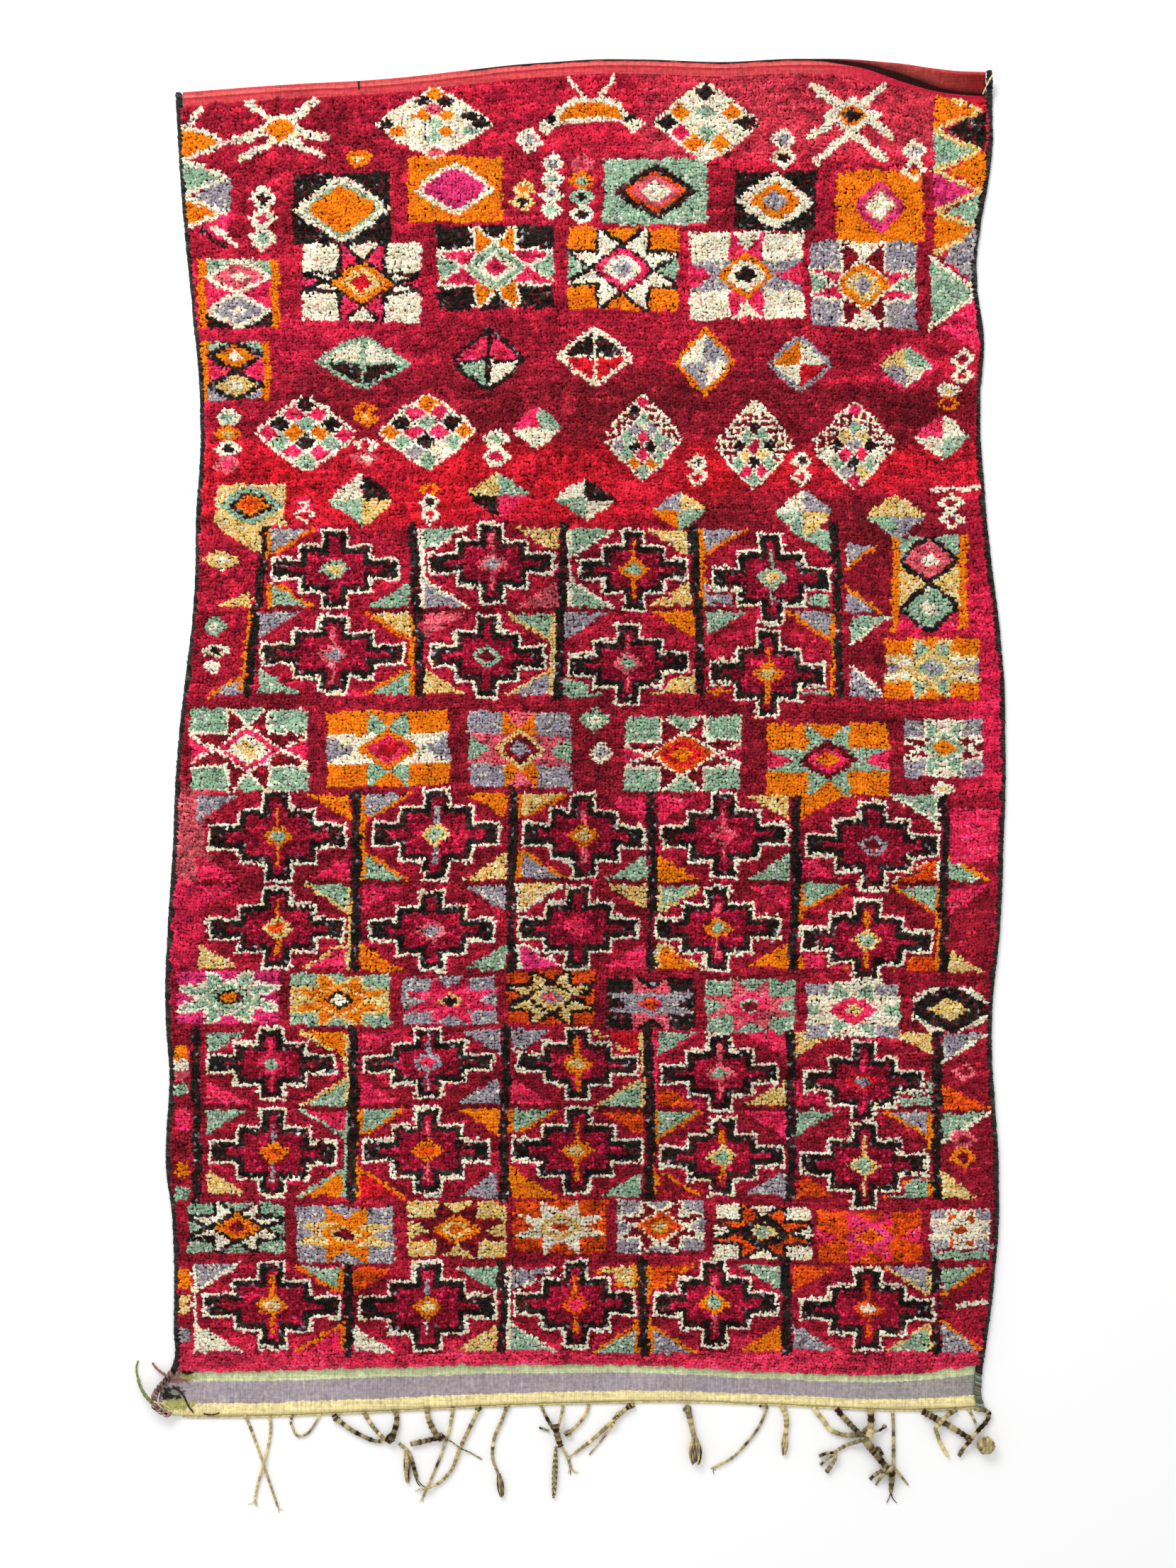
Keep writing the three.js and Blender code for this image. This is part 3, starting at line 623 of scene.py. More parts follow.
def tie_valley(chart, whole, ends, foot, dye, outline):
    """The notch between two points of a star, with its outline."""
    chart.paint(chart.triangle(*ends, foot), dye)
    for end in ends:
        chart.paint(whole & chart.stroke(foot, end, VALLEY_LINE), outline)


def tie_lozenge_box(chart, box):
    """A box with a lozenge in it, cut off where it would leave the box."""
    ground, rim, line, fill, core = box.dyes
    middle, centre, width, height = extent(box)
    width, height = width * box.across, height * box.up
    inside = chart.filled(box)
    chart.paint(inside, ground)
    for inset, dye in ((0, rim), (LOZENGE_RIM, line), (LOZENGE_LINE, fill)):
        chart.paint(inside & chart.lozenge(middle, centre, width, height, inset), dye)
    chart.paint(chart.lozenge(middle, centre, width * LOZENGE_CORE, height * LOZENGE_CORE), core)


def tie_crossed_box(chart, box):
    """Two lozenges one above the other between bars, with triangles beside them."""
    bar, outline, top, upper, side, lower, bottom = box.dyes
    middle, centre, width, height = extent(box)
    width, half = width - CROSSED_BARS, height / 2
    chart.paint(chart.filled(box), bar)
    inside = chart.block(middle - width / 2, middle + width / 2, box.top, box.bottom)
    chart.paint(inside, side)
    chart.paint(inside & (chart.row > centre + half / 2), top)
    chart.paint(inside & (chart.row < centre - half / 2), bottom)
    for place, dye in ((centre + half / 2, upper), (centre - half / 2, lower)):
        rim = chart.lozenge(middle, place, width + CROSSED_LINE, half + CROSSED_LINE)
        chart.paint(inside & rim, outline)
        chart.paint(chart.lozenge(middle, place, width, half, CROSSED_LINE), dye)
        core = chart.lozenge(middle, place, width * CROSSED_CORE[0], half * CROSSED_CORE[1])
        chart.paint(core, "c")


def tie_quartered(chart, figure):
    """A lozenge in four quarters, with or without a rim and a middle line."""
    rim, top_left, top_right, bottom_left, bottom_right, line = figure.dyes
    middle, centre, width, height = extent(figure)
    chart.paint(chart.lozenge(middle, centre, width, height), rim)
    inside = chart.lozenge(middle, centre, width, height, 0 if rim == GROUND else QUARTER_RIM)
    left, high = chart.column < middle, chart.row > centre
    chart.paint(inside & left & high, top_left)
    chart.paint(inside & ~left & high, top_right)
    chart.paint(inside & left & ~high, bottom_left)
    chart.paint(inside & ~left & ~high, bottom_right)
    upright = np.abs(chart.column - middle) < QUARTER_LINES[0]
    level = np.abs(chart.row - centre) < QUARTER_LINES[1]
    chart.paint(inside & (upright | level), line)


def tie_checked(chart, figure):
    """A lozenge of small lozenges in a cream grid, charted from its top downwards."""
    levels = figure.cells.split()
    count = (len(levels) + 1) // 2
    middle, centre, width, height = extent(figure)
    across, up = (chart.column - middle) / width, (chart.row - centre) / height
    rising, falling = (across + up + 0.5) * count, (across - up + 0.5) * count
    small_checks = (np.floor(rising * SMALL_CHECKS) + np.floor(falling * SMALL_CHECKS)) % 2 == 0
    chart.paint(chart.lozenge(middle, centre, width, height), "c")
    clear = np.maximum(np.abs(rising % 1 - 0.5), np.abs(falling % 1 - 0.5)) < CHECK_REACH
    for level, dyes in enumerate(levels):
        for place, dye in enumerate(dyes):
            fall = place + max(level - count + 1, 0)
            rise = fall + count - 1 - level
            cell = (np.floor(rising) == rise) & (np.floor(falling) == fall)
            if dye == HATCH:
                chart.paint(cell & small_checks, "m")
            else:
                chart.paint(cell & clear, dye)


def tie_spider(chart, figure):
    """A body with six legs, the lowest two on a short trunk."""
    place = (figure.column, figure.row)
    roots = [*LEG_ROOTS, (LOW_LEG_ROOT, figure.trunk)]
    for index, tip in enumerate(figure.tips):
        across, up = roots[index // 2]
        root = (figure.column + math.copysign(across, tip[0]), figure.row + up)
        end = (figure.column + tip[0], figure.row + tip[1])
        chart.paint(chart.stroke(root, end, LEG_WIDTH), figure.legs)
    foot = (figure.column, figure.row + figure.trunk)
    chart.paint(chart.stroke(place, foot, TRUNK_WIDTH), figure.legs)
    for inset, dye in zip((0, *figure.rim), (figure.legs, figure.body, figure.heart)):
        chart.paint(chart.lozenge(*place, *figure.size, inset), dye)


def tie_arch(chart, figure):
    """A low arch with a toothed rim, dark ends and two feelers."""
    across = (chart.column - figure.column) / (figure.width / 2)
    for drop, reach, dye in ((0, 1.0, figure.rim), (ARCH_RIM, ARCH_FILL_REACH, figure.fill)):
        outer = np.sqrt(np.maximum(1 - (across / reach) ** 2, 0))
        inner = np.sqrt(np.maximum(1 - across**2, 0))
        crown = figure.row + (figure.height - drop) * outer
        hollow = figure.row + (figure.height - ARCH_THICKNESS + drop) * inner
        chart.paint((chart.row < crown) & (chart.row > hollow) & (np.abs(across) < reach), dye)
    top = figure.row + figure.height
    for side in (-1, 1):
        x, y = figure.column + side * figure.width * ARCH_END["place"], figure.row + ARCH_END["rise"]
        chart.paint(chart.lozenge(x, y, *ARCH_END["size"]), figure.rim)
        x, y = x - side * ARCH_SPOT["inward"], y + ARCH_SPOT["rise"]
        chart.paint(chart.lozenge(x, y, *ARCH_SPOT["size"]), figure.ends)
        root = (figure.column + side * FEELER["root"], top)
        tip = (figure.column + side * FEELER["tip"], top + FEELER["rise"])
        chart.paint(chart.stroke(root, tip, FEELER["width"]), figure.rim)


def tie_chain(chart, figure):
    """Small hollow lozenges one below the other, each with a rim and a centre dye."""
    links = figure.dyes.split()
    step = (figure.top - figure.bottom) / len(links)
    hollow = (figure.width * LINK_HOLLOW[0], step * LINK_HOLLOW[1])
    for index, (rim, centre) in enumerate(links):
        row = figure.top - (index + 0.5) * step
        whole = chart.lozenge(figure.column, row, figure.width, step * LINK_OVERLAP)
        inner = chart.lozenge(figure.column, row, *hollow)
        chart.paint(whole & ~inner, rim)
        chart.paint(inner, centre)


def tie_zigzag(chart, figure):
    """Triangles that point at each other from both sides of a zigzag line."""
    left, right = figure.left, figure.right
    step = (figure.top - figure.bottom) / len(figure.left_dyes)
    sides = ((left, right, figure.left_dyes, 0), (right, left, figure.right_dyes, 0.5))
    for foot, point, dyes, shift in sides:
        for index, dye in enumerate(dyes):
            high = figure.top - (index - shift) * step
            apex = (foot + (point - foot) * TOOTH_REACH, high - step / 2)
            chart.paint(chart.triangle((foot, high), (foot, high - step), apex), dye)
    for index in range(len(figure.left_dyes)):
        high = figure.top - index * step
        apex = (left + (right - left) * ZIGZAG_REACH, high - step / 2)
        for end in ((left, high), (left, high - step)):
            chart.paint(chart.stroke(end, apex, ZIGZAG_LINE), figure.line)


def tie_wedge(chart, figure):
    """A right-angled triangle, with a thin outline on its slanting side."""
    square = (figure.column, figure.row)
    across = (figure.column + figure.across, figure.row)
    up = (figure.column, figure.row + figure.up)
    chart.paint(chart.triangle(square, across, up), figure.dye)
    if figure.outline != GROUND:
        chart.paint(chart.stroke(across, up, WEDGE_LINE), figure.outline)


def tie_panel(chart, panel):
    """Rows of stepped diamonds with triangles in the corners of their cells."""
    rows = [(panel.top, panel.bottom)]
    if panel.middle is not None:
        rows = [(panel.top, panel.middle), (panel.middle, panel.bottom)]
        high, low = panel.middle + ROW_LINE, panel.middle - ROW_LINE
        chart.paint(chart.block(panel.left, panel.right, high, low), "m")
    for top, bottom in panel.bars:
        foot = (bottom, panel.bottom + BAR_LIFT)
        chart.paint(chart.stroke((top, panel.top), foot, BAR_WIDTH), "k")
    for cell in panel.cells:
        high, low = next(ends for ends in rows if ends[0] > cell.row > ends[1])
        share = (panel.top - cell.row) / (panel.top - panel.bottom)
        bars = [top + (bottom - top) * share for top, bottom in panel.bars]
        left = max([bar for bar in bars if bar < cell.column], default=panel.left) + BAR_WIDTH / 2
        right = min([bar for bar in bars if bar > cell.column], default=panel.right) - BAR_WIDTH / 2
        tie_cell(chart, cell, left, right, high - ROW_GAP, low + ROW_GAP)


def tie_cell(chart, cell, left, right, high, low):
    """One stepped diamond, its heart and stem, and the triangles round it."""
    sides = ((cell.strips[0], left, 1), (cell.strips[1], right, -1))
    for strip, place, way in sides:
        edges = sorted((place, place + way * STRIP_WIDTH))
        chart.paint(chart.block(*edges, high, low), strip)
    corners = [(y, up, *side) for y, up in ((high, -1), (low, 1)) for side in sides]
    for dye, (y, up, strip, x, way) in zip(cell.corners, corners):
        x += way * (NO_STRIP_WIDTH if strip == GROUND else STRIP_WIDTH)
        if dye != GROUND:
            tie_wedge(chart, Wedge(x, y, way * CORNER[0], up * CORNER[1], dye, strip))
    for inset, dye in ((-HALO, "v"), (0, "c"), (CREAM_LAYER, "k")):
        chart.paint(chart.stepped(cell, inset), dye)
    within = np.abs(chart.column - cell.column) < cell.width * FILL_REACH
    chart.paint(within & chart.stepped(cell, CREAM_LAYER + BLACK_LAYER), "v")
    rim, fill, stem = cell.heart
    upright = np.abs(chart.column - cell.column) < STEM_LINE
    chart.paint(upright & (np.abs(chart.row - cell.row) < STEM_REACH), stem)
    for size, dye in ((1, rim), (HEART_FILL, fill)):
        chart.paint(chart.lozenge(cell.column, cell.row, HEART[0] * size, HEART[1] * size), dye)


def tie_stroke(chart, figure):
    """A straight line of knots."""
    chart.paint(chart.stroke(figure.start, figure.end, figure.width), figure.dye)


def tie_patch(chart, figure):
    """A plain block of one dye."""
    chart.paint(chart.filled(figure), figure.dye)


# The motifs in the order in which they are drawn
FIELD = [
    (tie_panel, PANELS),
    (tie_wedge, WEDGES),
    (tie_patch, PATCHES),
    (tie_star_box, STAR_BOXES),
    (tie_lozenge_box, LOZENGE_BOXES),
    (tie_crossed_box, CROSSED_BOXES),
    (tie_quartered, QUARTERED),
    (tie_checked, CHECKED),
    (tie_spider, SPIDERS),
    (tie_arch, ARCHES),
    (tie_zigzag, ZIGZAGS),
    (tie_chain, CHAINS),
    (tie_stroke, STROKES),
]

# Waves that make the hand-drawn lines and the dye lots uneven, in knots: length, sway and the sway's length
RIPPLES = [(13.1, 1.7, 19.7), (11.3, 1.3, 23.9)]


def ripple(column, row):
    """Smooth unevenness between -1 and 1 over the field."""
    waves = 0
    for (length, sway, sway_length), first, second in zip(RIPPLES, (column, row), (row, column)):
        waves = waves + np.sin(first / length + sway * np.sin(second / sway_length))
    return waves / 2


def mottle(chance, shape, span):
    """Smooth chance values over patches of so many rows and columns of tufts."""
    coarse = chance.normal(0, 1, (shape[0] // span[0] + 2, shape[1] // span[1] + 2))
    row, column = np.arange(shape[0]) / span[0], np.arange(shape[1]) / span[1]
    low, left = row.astype(int), column.astype(int)
    up, across = (row - low)[:, None], (column - left)[None, :]
    below = coarse[low][:, left] * (1 - across) + coarse[low][:, left + 1] * across
    above = coarse[low + 1][:, left] * (1 - across) + coarse[low + 1][:, left + 1] * across
    return below * (1 - up) + above * up


# The curve of display colours: a straight foot and a power above it
FOOT_END = 0.04045
FOOT_SLOPE = 12.92
CURVE_OFFSET = 0.055
CURVE_POWER = 2.4


def linear(colour):
    """A display colour as the linear light that shaders take."""
    colour = np.asarray(colour, float)
    curve = ((colour + CURVE_OFFSET) / (1 + CURVE_OFFSET)) ** CURVE_POWER
    return np.where(colour <= FOOT_END, colour / FOOT_SLOPE, curve)


# How far the lines of knots stray from the chart, and how softly and unevenly the dye lots meet, in knots
LINE_DRIFT = 0.10
LINE_WAVE = 0.5
LOT_EDGE = 3
LOT_EDGE_WAVE = 2
LOT_DEPTH = (0.8, 0.3)
LOT_RIPPLE = (2.3, 1.7)
KNOT_UNEVENNESS = 0.7
DRIFT_SHADE = 0.06
TINT_SPREAD = 0.035
DARKEST = 0.004


def between_places(low, high, edge, place):
    """1 between two places, fading to 0 over an edge at each."""
    return smoothstep(low - edge, low + edge, place) * smoothstep(-high - edge, edge - high, -place)


def dyed_knots(x, y, knot, dyes, chance):
    """Linear colour of each knot of the field, from the chart, the dye lots and stray yarn."""
    column, row = x / knot, y / knot
    each_row = chance.normal(0, LINE_DRIFT, (x.shape[0], 1))
    each_column = chance.normal(0, LINE_DRIFT, (1, x.shape[1]))
    drift = ripple(column, row)
    drawn_column = column + LINE_WAVE * drift + each_row
    chart = KnotChart(drawn_column, row + LINE_WAVE * ripple(row, column) + each_column)
    for tie, figures in FIELD:
        for figure in figures:
            tie(chart, figure)
    tints = {letter: linear(getattr(dyes, name)) for letter, name in DYES.items()}
    colour = np.tile(linear(dyes.crimson), (*x.shape, 1))
    edge = LOT_EDGE + LOT_EDGE_WAVE * drift
    patchy = LOT_DEPTH[0] + LOT_DEPTH[1] * ripple(row * LOT_RIPPLE[0], column * LOT_RIPPLE[1])
    for lot in LOTS:
        within = between_places(lot.left, lot.right, edge, column)
        within = within * between_places(lot.bottom, lot.top, edge, row)
        weight = np.clip(lot.strength * within * patchy, 0, 1)
        colour += weight[..., None] * (tints[lot.dye] - colour)
    for letter, tint in tints.items():
        colour[chart.letter == letter] = tint
    for fleck in FLECKS:
        stray = (chart.letter == fleck.dye) & (chance.random(x.shape) < fleck.share)
        colour[stray] += STRAY_STRENGTH * (tints[fleck.stray] - colour[stray])
    pale = np.isin(chart.letter, list(PALE_DYES))
    spread = np.where(chart.letter == "k", BLACK_SPREAD, np.where(pale, PALE_SPREAD, DYE_SPREAD))
    depth = np.where(pale, PALE_DEPTH, DEPTH_OF_DYE)
    uneven = KNOT_UNEVENNESS * chance.normal(0, 1, x.shape)
    for weight, span in UNEVENNESS:
        uneven += weight * mottle(chance, x.shape, span)
    # Painted shade of a shallow hollow along the field's middle
    hollow = HOLLOW_SHADE["depth"] * np.exp(-(((column - HOLLOW_SHADE["column"]) / HOLLOW_SHADE["width"]) ** 2))
    hollow = hollow * smoothstep(HOLLOW_SHADE["low"], HOLLOW_SHADE["low"] + HOLLOW_SHADE["low_fade"], row)
    hollow = hollow * smoothstep(-HOLLOW_SHADE["high"], HOLLOW_SHADE["high_fade"] - HOLLOW_SHADE["high"], -row)
    shade = depth * np.exp(spread * uneven + DRIFT_SHADE * drift) * (1 - hollow)
    tint = chance.normal(0, TINT_SPREAD, (*x.shape, 3))
    return np.clip(colour * shade[..., None] * (1 + tint), DARKEST, 1)


def add_node(tree, kind, inputs=(), **settings):
    """A node with its settings made, and its inputs set or linked."""
    made = tree.nodes.new(kind)
    for name, value in settings.items():
        setattr(made, name, value)
    for name, value in dict(inputs).items():
        if isinstance(value, bpy.types.NodeSocket):
            tree.links.new(value, made.inputs[name])
        else:
            made.inputs[name].default_value = value
    return made


def output(tree, kind, inputs=(), which=0, **settings):
    """One output of a new node, the first unless it is named."""
    return add_node(tree, kind, inputs, **settings).outputs[which]


def maths(tree, operation, *values):
    """Output of a maths node on values or sockets."""
    return output(tree, "ShaderNodeMath", enumerate(values), operation=operation)


def vector_maths(tree, operation, first, second):
    """Output of a vector maths node on two vectors, or on a vector and its scale."""
    place = "Scale" if operation == "SCALE" else 1
    return output(tree, "ShaderNodeVectorMath", {0: first, place: second}, operation=operation)


def new_tree(name, kind, inputs, outputs):
    """A node tree with named sockets, given as labels and kinds of value."""
    tree = bpy.data.node_groups.new(name, kind)
    for direction, sockets in (("INPUT", inputs), ("OUTPUT", outputs)):
        for label, value in sockets.items():
            tree.interface.new_socket(name=label, in_out=direction, socket_type="NodeSocket" + value)
    return tree


def kept_value(tree, name, kind):
    """A value that the points or the vertices of a mesh carry."""
    named = {"Name": name}
    return output(tree, "GeometryNodeInputNamedAttribute", named, "Attribute", data_type=kind)


def finish_tree(tree, geometry, yarn):
    """Gives a tree's mesh the finish of its yarn and ends the tree."""
    applied = output(tree, "GeometryNodeSetMaterial", {"Geometry": geometry, "Material": yarn})
    add_node(tree, "NodeGroupOutput", {"Mesh": applied})
    return tree


def planting_tree():
    """Sets a small piece on every point, turned and sized by the point, as one mesh."""
    tree = new_tree(
        "Set on points",
        "GeometryNodeTree",
        {
            "Points": "Geometry", "Piece": "Object", "Random turn": "Float", "Sway": "Float",
            "Size spread": "Float", "Cell": "Float", "Seed": "Int", "Yarn": "Material",
        },
        {"Mesh": "Geometry"},
    )
    given = add_node(tree, "NodeGroupInput").outputs

    def kept(name):
        return kept_value(tree, name, "FLOAT_VECTOR")

    def chance(low, high, shift):
        limits = {0: (low,) * 3, 1: (high,) * 3, "Seed": maths(tree, "ADD", given["Seed"], shift)}
        return output(tree, "FunctionNodeRandomValue", limits, data_type="FLOAT_VECTOR")

    def turned(euler):
        return output(tree, "FunctionNodeEulerToRotation", {0: euler})

    spin = vector_maths(tree, "MULTIPLY", chance(0, 1, 0), (0, 0, 1))
    spin = turned(vector_maths(tree, "SCALE", spin, given["Random turn"]))
    sway = vector_maths(tree, "MULTIPLY", chance(-1, 1, 1), (1, 1, 0))
    sway = vector_maths(tree, "SCALE", sway, given["Sway"])
    tilt = turned(vector_maths(tree, "ADD", kept("turn"), sway))
    turns = {"Rotation": spin, "Rotate By": tilt}
    rotation = output(tree, "FunctionNodeRotateRotation", turns, rotation_space="GLOBAL")
    spread = vector_maths(tree, "SCALE", chance(-1, 1, 2), given["Size spread"])
    scale = vector_maths(tree, "MULTIPLY", kept("size"), vector_maths(tree, "ADD", spread, (1, 1, 1)))
    piece = output(tree, "GeometryNodeObjectInfo", {"Object": given["Piece"]}, "Geometry")
    placing = {"Points": given["Points"], "Instance": piece, "Rotation": rotation, "Scale": scale}
    planted = output(tree, "GeometryNodeInstanceOnPoints", placing)
    real = output(tree, "GeometryNodeRealizeInstances", {"Geometry": planted})
    place = vector_maths(tree, "SCALE", kept("OFBake"), given["Cell"])
    mapping = {"Geometry": real, "Name": "OFBake", "Value": vector_maths(tree, "ADD", kept("cell"), place)}
    corners = {"data_type": "FLOAT2", "domain": "CORNER"}
    mapped = output(tree, "GeometryNodeStoreNamedAttribute", mapping, **corners)
    return finish_tree(tree, mapped, given["Yarn"])


def twisting_tree():
    """Sweeps a flattened section along lines of points, turning as it goes, like plied yarn."""
    tree = new_tree(
        "Twist yarn",
        "GeometryNodeTree",
        {"Lines": "Geometry", "Twist": "Float", "Flatness": "Float", "Sides": "Int", "Yarn": "Material"},
        {"Mesh": "Geometry"},
    )
    given = add_node(tree, "NodeGroupInput").outputs
    thickness = kept_value(tree, "thickness", "FLOAT")
    curves = output(tree, "GeometryNodeMeshToCurve", {0: given["Lines"]})
    sized = output(tree, "GeometryNodeSetCurveRadius", {0: curves, "Radius": thickness})
    length = output(tree, "GeometryNodeSplineParameter", which="Length")
    tilt = maths(tree, "MULTIPLY", length, given["Twist"])
    tilted = output(tree, "GeometryNodeSetCurveTilt", {0: sized, "Tilt": tilt})
    round_section = {"Resolution": given["Sides"], "Radius": 1.0}
    circle = output(tree, "GeometryNodeCurvePrimitiveCircle", round_section, mode="RADIUS")
    squeeze = output(tree, "ShaderNodeCombineXYZ", {0: 1.0, 1: given["Flatness"], 2: 1.0})
    section = output(tree, "GeometryNodeTransform", {"Geometry": circle, "Scale": squeeze})
    sweep = {"Curve": tilted, "Profile Curve": section, "Fill Caps": True}
    swept = add_node(tree, "GeometryNodeCurveToMesh", sweep)
    if "Scale" in swept.inputs:
        tree.links.new(thickness, swept.inputs["Scale"])
    real = output(tree, "GeometryNodeRealizeInstances", {"Geometry": swept.outputs[0]})
    return finish_tree(tree, real, given["Yarn"])


def tree_named(name, make):
    """A node tree by name, made the first time it is asked for."""
    return bpy.data.node_groups.get(name) or make()


def add_object(name, mesh):
    """An object for a mesh, at the origin."""
    made = bpy.data.objects.new(name, mesh)
    bpy.context.scene.collection.objects.link(made)
    return made


def keep(mesh, name, kind, values):
    """Stores one value for each vertex of a mesh."""
    attribute = mesh.attributes.new(name, kind, "POINT")
    field = {"FLOAT": "value", "FLOAT_VECTOR": "vector", "FLOAT_COLOR": "color"}[kind]
    attribute.data.foreach_set(field, np.asarray(values, np.float32).ravel())


def grow(name, mesh, tree, settings):
    """Runs a node tree on a mesh and keeps the result as a plain, smooth mesh."""
    start = add_object(name + "_start", mesh)
    modifier = start.modifiers.new(tree.name, "NODES")
    modifier.node_group = tree
    for item in tree.interface.items_tree:
        if item.in_out == "INPUT" and item.name in settings:
            modifier[item.identifier] = settings[item.name]
    bpy.context.view_layer.update()
    depsgraph = bpy.context.evaluated_depsgraph_get()
    plain = bpy.data.meshes.new_from_object(
        start.evaluated_get(depsgraph),
        preserve_all_data_layers=True,
        depsgraph=depsgraph,
    )
    start.modifiers.remove(modifier)
    bpy.data.objects.remove(start)
    if not plain.polygons:
        raise RuntimeError(f"{name} has no faces")
    plain.name = name
    plain.shade_smooth()
    for used in ("turn", "size", "cell", "thickness"):
        if used in plain.attributes:
            plain.attributes.remove(plain.attributes[used])
    return add_object(name, plain)


def dye_attribute(colours):
    """Colours with a full alpha."""
    return np.hstack([colours, np.ones((len(colours), 1))])


def plant(name, places, turns, sizes, colours, settings):
    """Sets a small piece on every place, each with its turn, its size, its dye and its square of the map."""
    mesh = bpy.data.meshes.new(name)
    mesh.from_pydata(places.tolist(), [], [])
    keep(mesh, "turn", "FLOAT_VECTOR", turns)
    keep(mesh, "size", "FLOAT_VECTOR", sizes)
    keep(mesh, "dye", "FLOAT_COLOR", dye_attribute(colours))
    side = math.ceil(math.sqrt(len(places)))
    index = np.arange(len(places))
    squares = np.stack([index % side, index // side, np.zeros(len(places))], axis=1) / side
    keep(mesh, "cell", "FLOAT_VECTOR", squares)
    return grow(name, mesh, tree_named("Set on points", planting_tree), {**settings, "Cell": 1 / side})


# The lock's section and shoulder, and the free rim of each small shape on the map
LOCK_SIDES = 3
LOCK_SHOULDER = 0.70
MAP_MARGIN = 0.06


def yarn_shape(name, points, faces, tips, maps):
    """A small shape of yarn to set on points, with its height along the yarn, which sets its painted root
    shade, and its place on the map.
    """
    mesh = bpy.data.meshes.new(name)
    mesh.from_pydata(points, [], faces)
    keep(mesh, "tip", "FLOAT", tips)
    layer = mesh.uv_layers.new(name="OFBake")
    places = MAP_MARGIN + np.array(maps) * (1 - 2 * MAP_MARGIN)
    layer.data.foreach_set("uv", places.astype(np.float32).ravel())
    return add_object(name, mesh)


def wool_lock():
    """A short lock of pile yarn, one high and one in radius, pointed at its root and its tip."""
    points = [(0.0, 0.0, 0.0)]
    for side in range(LOCK_SIDES):
        angle = math.tau * side / LOCK_SIDES
        points.append((math.cos(angle), math.sin(angle), LOCK_SHOULDER))
    points.append((0.0, 0.0, 1.0))
    root, tip = 0, len(points) - 1
    faces, maps = [], []
    for side in range(LOCK_SIDES):
        near, far = 1 + side, 1 + (side + 1) % LOCK_SIDES
        low, high = side / LOCK_SIDES, (side + 1) / LOCK_SIDES
        faces += [(root, far, near), (tip, near, far)]
        maps += [((low + high) / 2, 0.0), (high, 0.5), (low, 0.5)]
        maps += [((low + high) / 2, 1.0), (low, 0.5), (high, 0.5)]
    return yarn_shape("wool_lock", points, faces, [point[2] for point in points], maps)


# The stitch: its steps and section, the turn it takes, and its sizes as shares of the binding
STITCH_STEPS = 7
STITCH_SECTION = [(-1, 0), (0, 0.7), (1, 0), (0, -0.7)]
STITCH_SPAN = (-0.35, math.pi + 0.35)
STITCH_SLANT = 0.9
STITCH_RADIUS = 0.40
STITCH_THICKNESS = 0.088
STITCH_HALF_WIDTH = 0.42
STITCH_MIDDLE = 0.42
STITCH_MAP = (0.1, 0.9)
STITCH_END_MAP = 0.08


def overcast_stitch():
    """One slanting turn of binding yarn over the side cords, for a binding one wide and one high."""
    points, tips, faces, maps = [], [], [], []
    for step in range(STITCH_STEPS + 1):
        share = step / STITCH_STEPS
        angle = STITCH_SPAN[0] + (STITCH_SPAN[1] - STITCH_SPAN[0]) * share
        for along_edge, outward in STITCH_SECTION:
            radius = STITCH_RADIUS + STITCH_THICKNESS * outward
            place = STITCH_SLANT * (share - 0.5) + STITCH_HALF_WIDTH * along_edge
            points.append((radius * math.cos(angle), place, STITCH_MIDDLE + radius * math.sin(angle)))
            # Painted shade: the stitch's inner side, against the cords, takes more of the root shade than
            # its outer side
            tips.append(0.5 + 0.5 * outward)
    count = len(STITCH_SECTION)
    marks = np.linspace(*STITCH_MAP, STITCH_STEPS + 1)
    for step in range(STITCH_STEPS):
        low, high = step * count, (step + 1) * count
        start, end = marks[step], marks[step + 1]
        for side in range(count):
            after = (side + 1) % count
            faces.append((low + after, low + side, high + side, high + after))
            near, far = side / count, (side + 1) / count
            maps += [(start, far), (start, near), (end, near), (end, far)]
    faces.append(tuple(range(count)))
    faces.append(tuple(reversed(range(STITCH_STEPS * count, (STITCH_STEPS + 1) * count))))
    for start, end in ((0.0, STITCH_END_MAP), (1 - STITCH_END_MAP, 1.0)):
        maps += [(start, 0.0), (end, 0.0), (end, STITCH_END_MAP), (start, STITCH_END_MAP)]
    return yarn_shape("overcast_stitch", points, faces, tips, maps)


FIBRE_NOISE = {"Detail": 3.0, "Roughness": 0.65}


def fibre_group():
    """Fine yarn fibres: a height for bump and a shade, from the object's own coordinates."""
    sockets = {"Scale": "Float", "Contrast": "Float"}
    tree = new_tree("Wool fibres", "ShaderNodeTree", sockets, {"Height": "Float", "Shade": "Float"})
    given = add_node(tree, "NodeGroupInput").outputs
    place = output(tree, "ShaderNodeTexCoord", which="Object")
    fineness = {"Vector": place, "Scale": given["Scale"], **FIBRE_NOISE}
    fine = output(tree, "ShaderNodeTexNoise", fineness)
    centred = maths(tree, "SUBTRACT", fine, 0.5)
    shade = maths(tree, "MULTIPLY_ADD", centred, given["Contrast"], 1.0)
    add_node(tree, "NodeGroupOutput", {"Height": fine, "Shade": shade})
    return tree


# How far the warps and the picks of the flat weave wander, how deep its beads are, and the painted shade
# that darkens the grooves between them
WANDER_NOISE = {"Scale": 60.0, "Detail": 2.0}
WARP_WANDER = 0.6
PICK_WANDER = 1.4
BEAD_DEPTH = 0.35
PAINTED_GROOVE_SHADE = (0.34, 0.78)


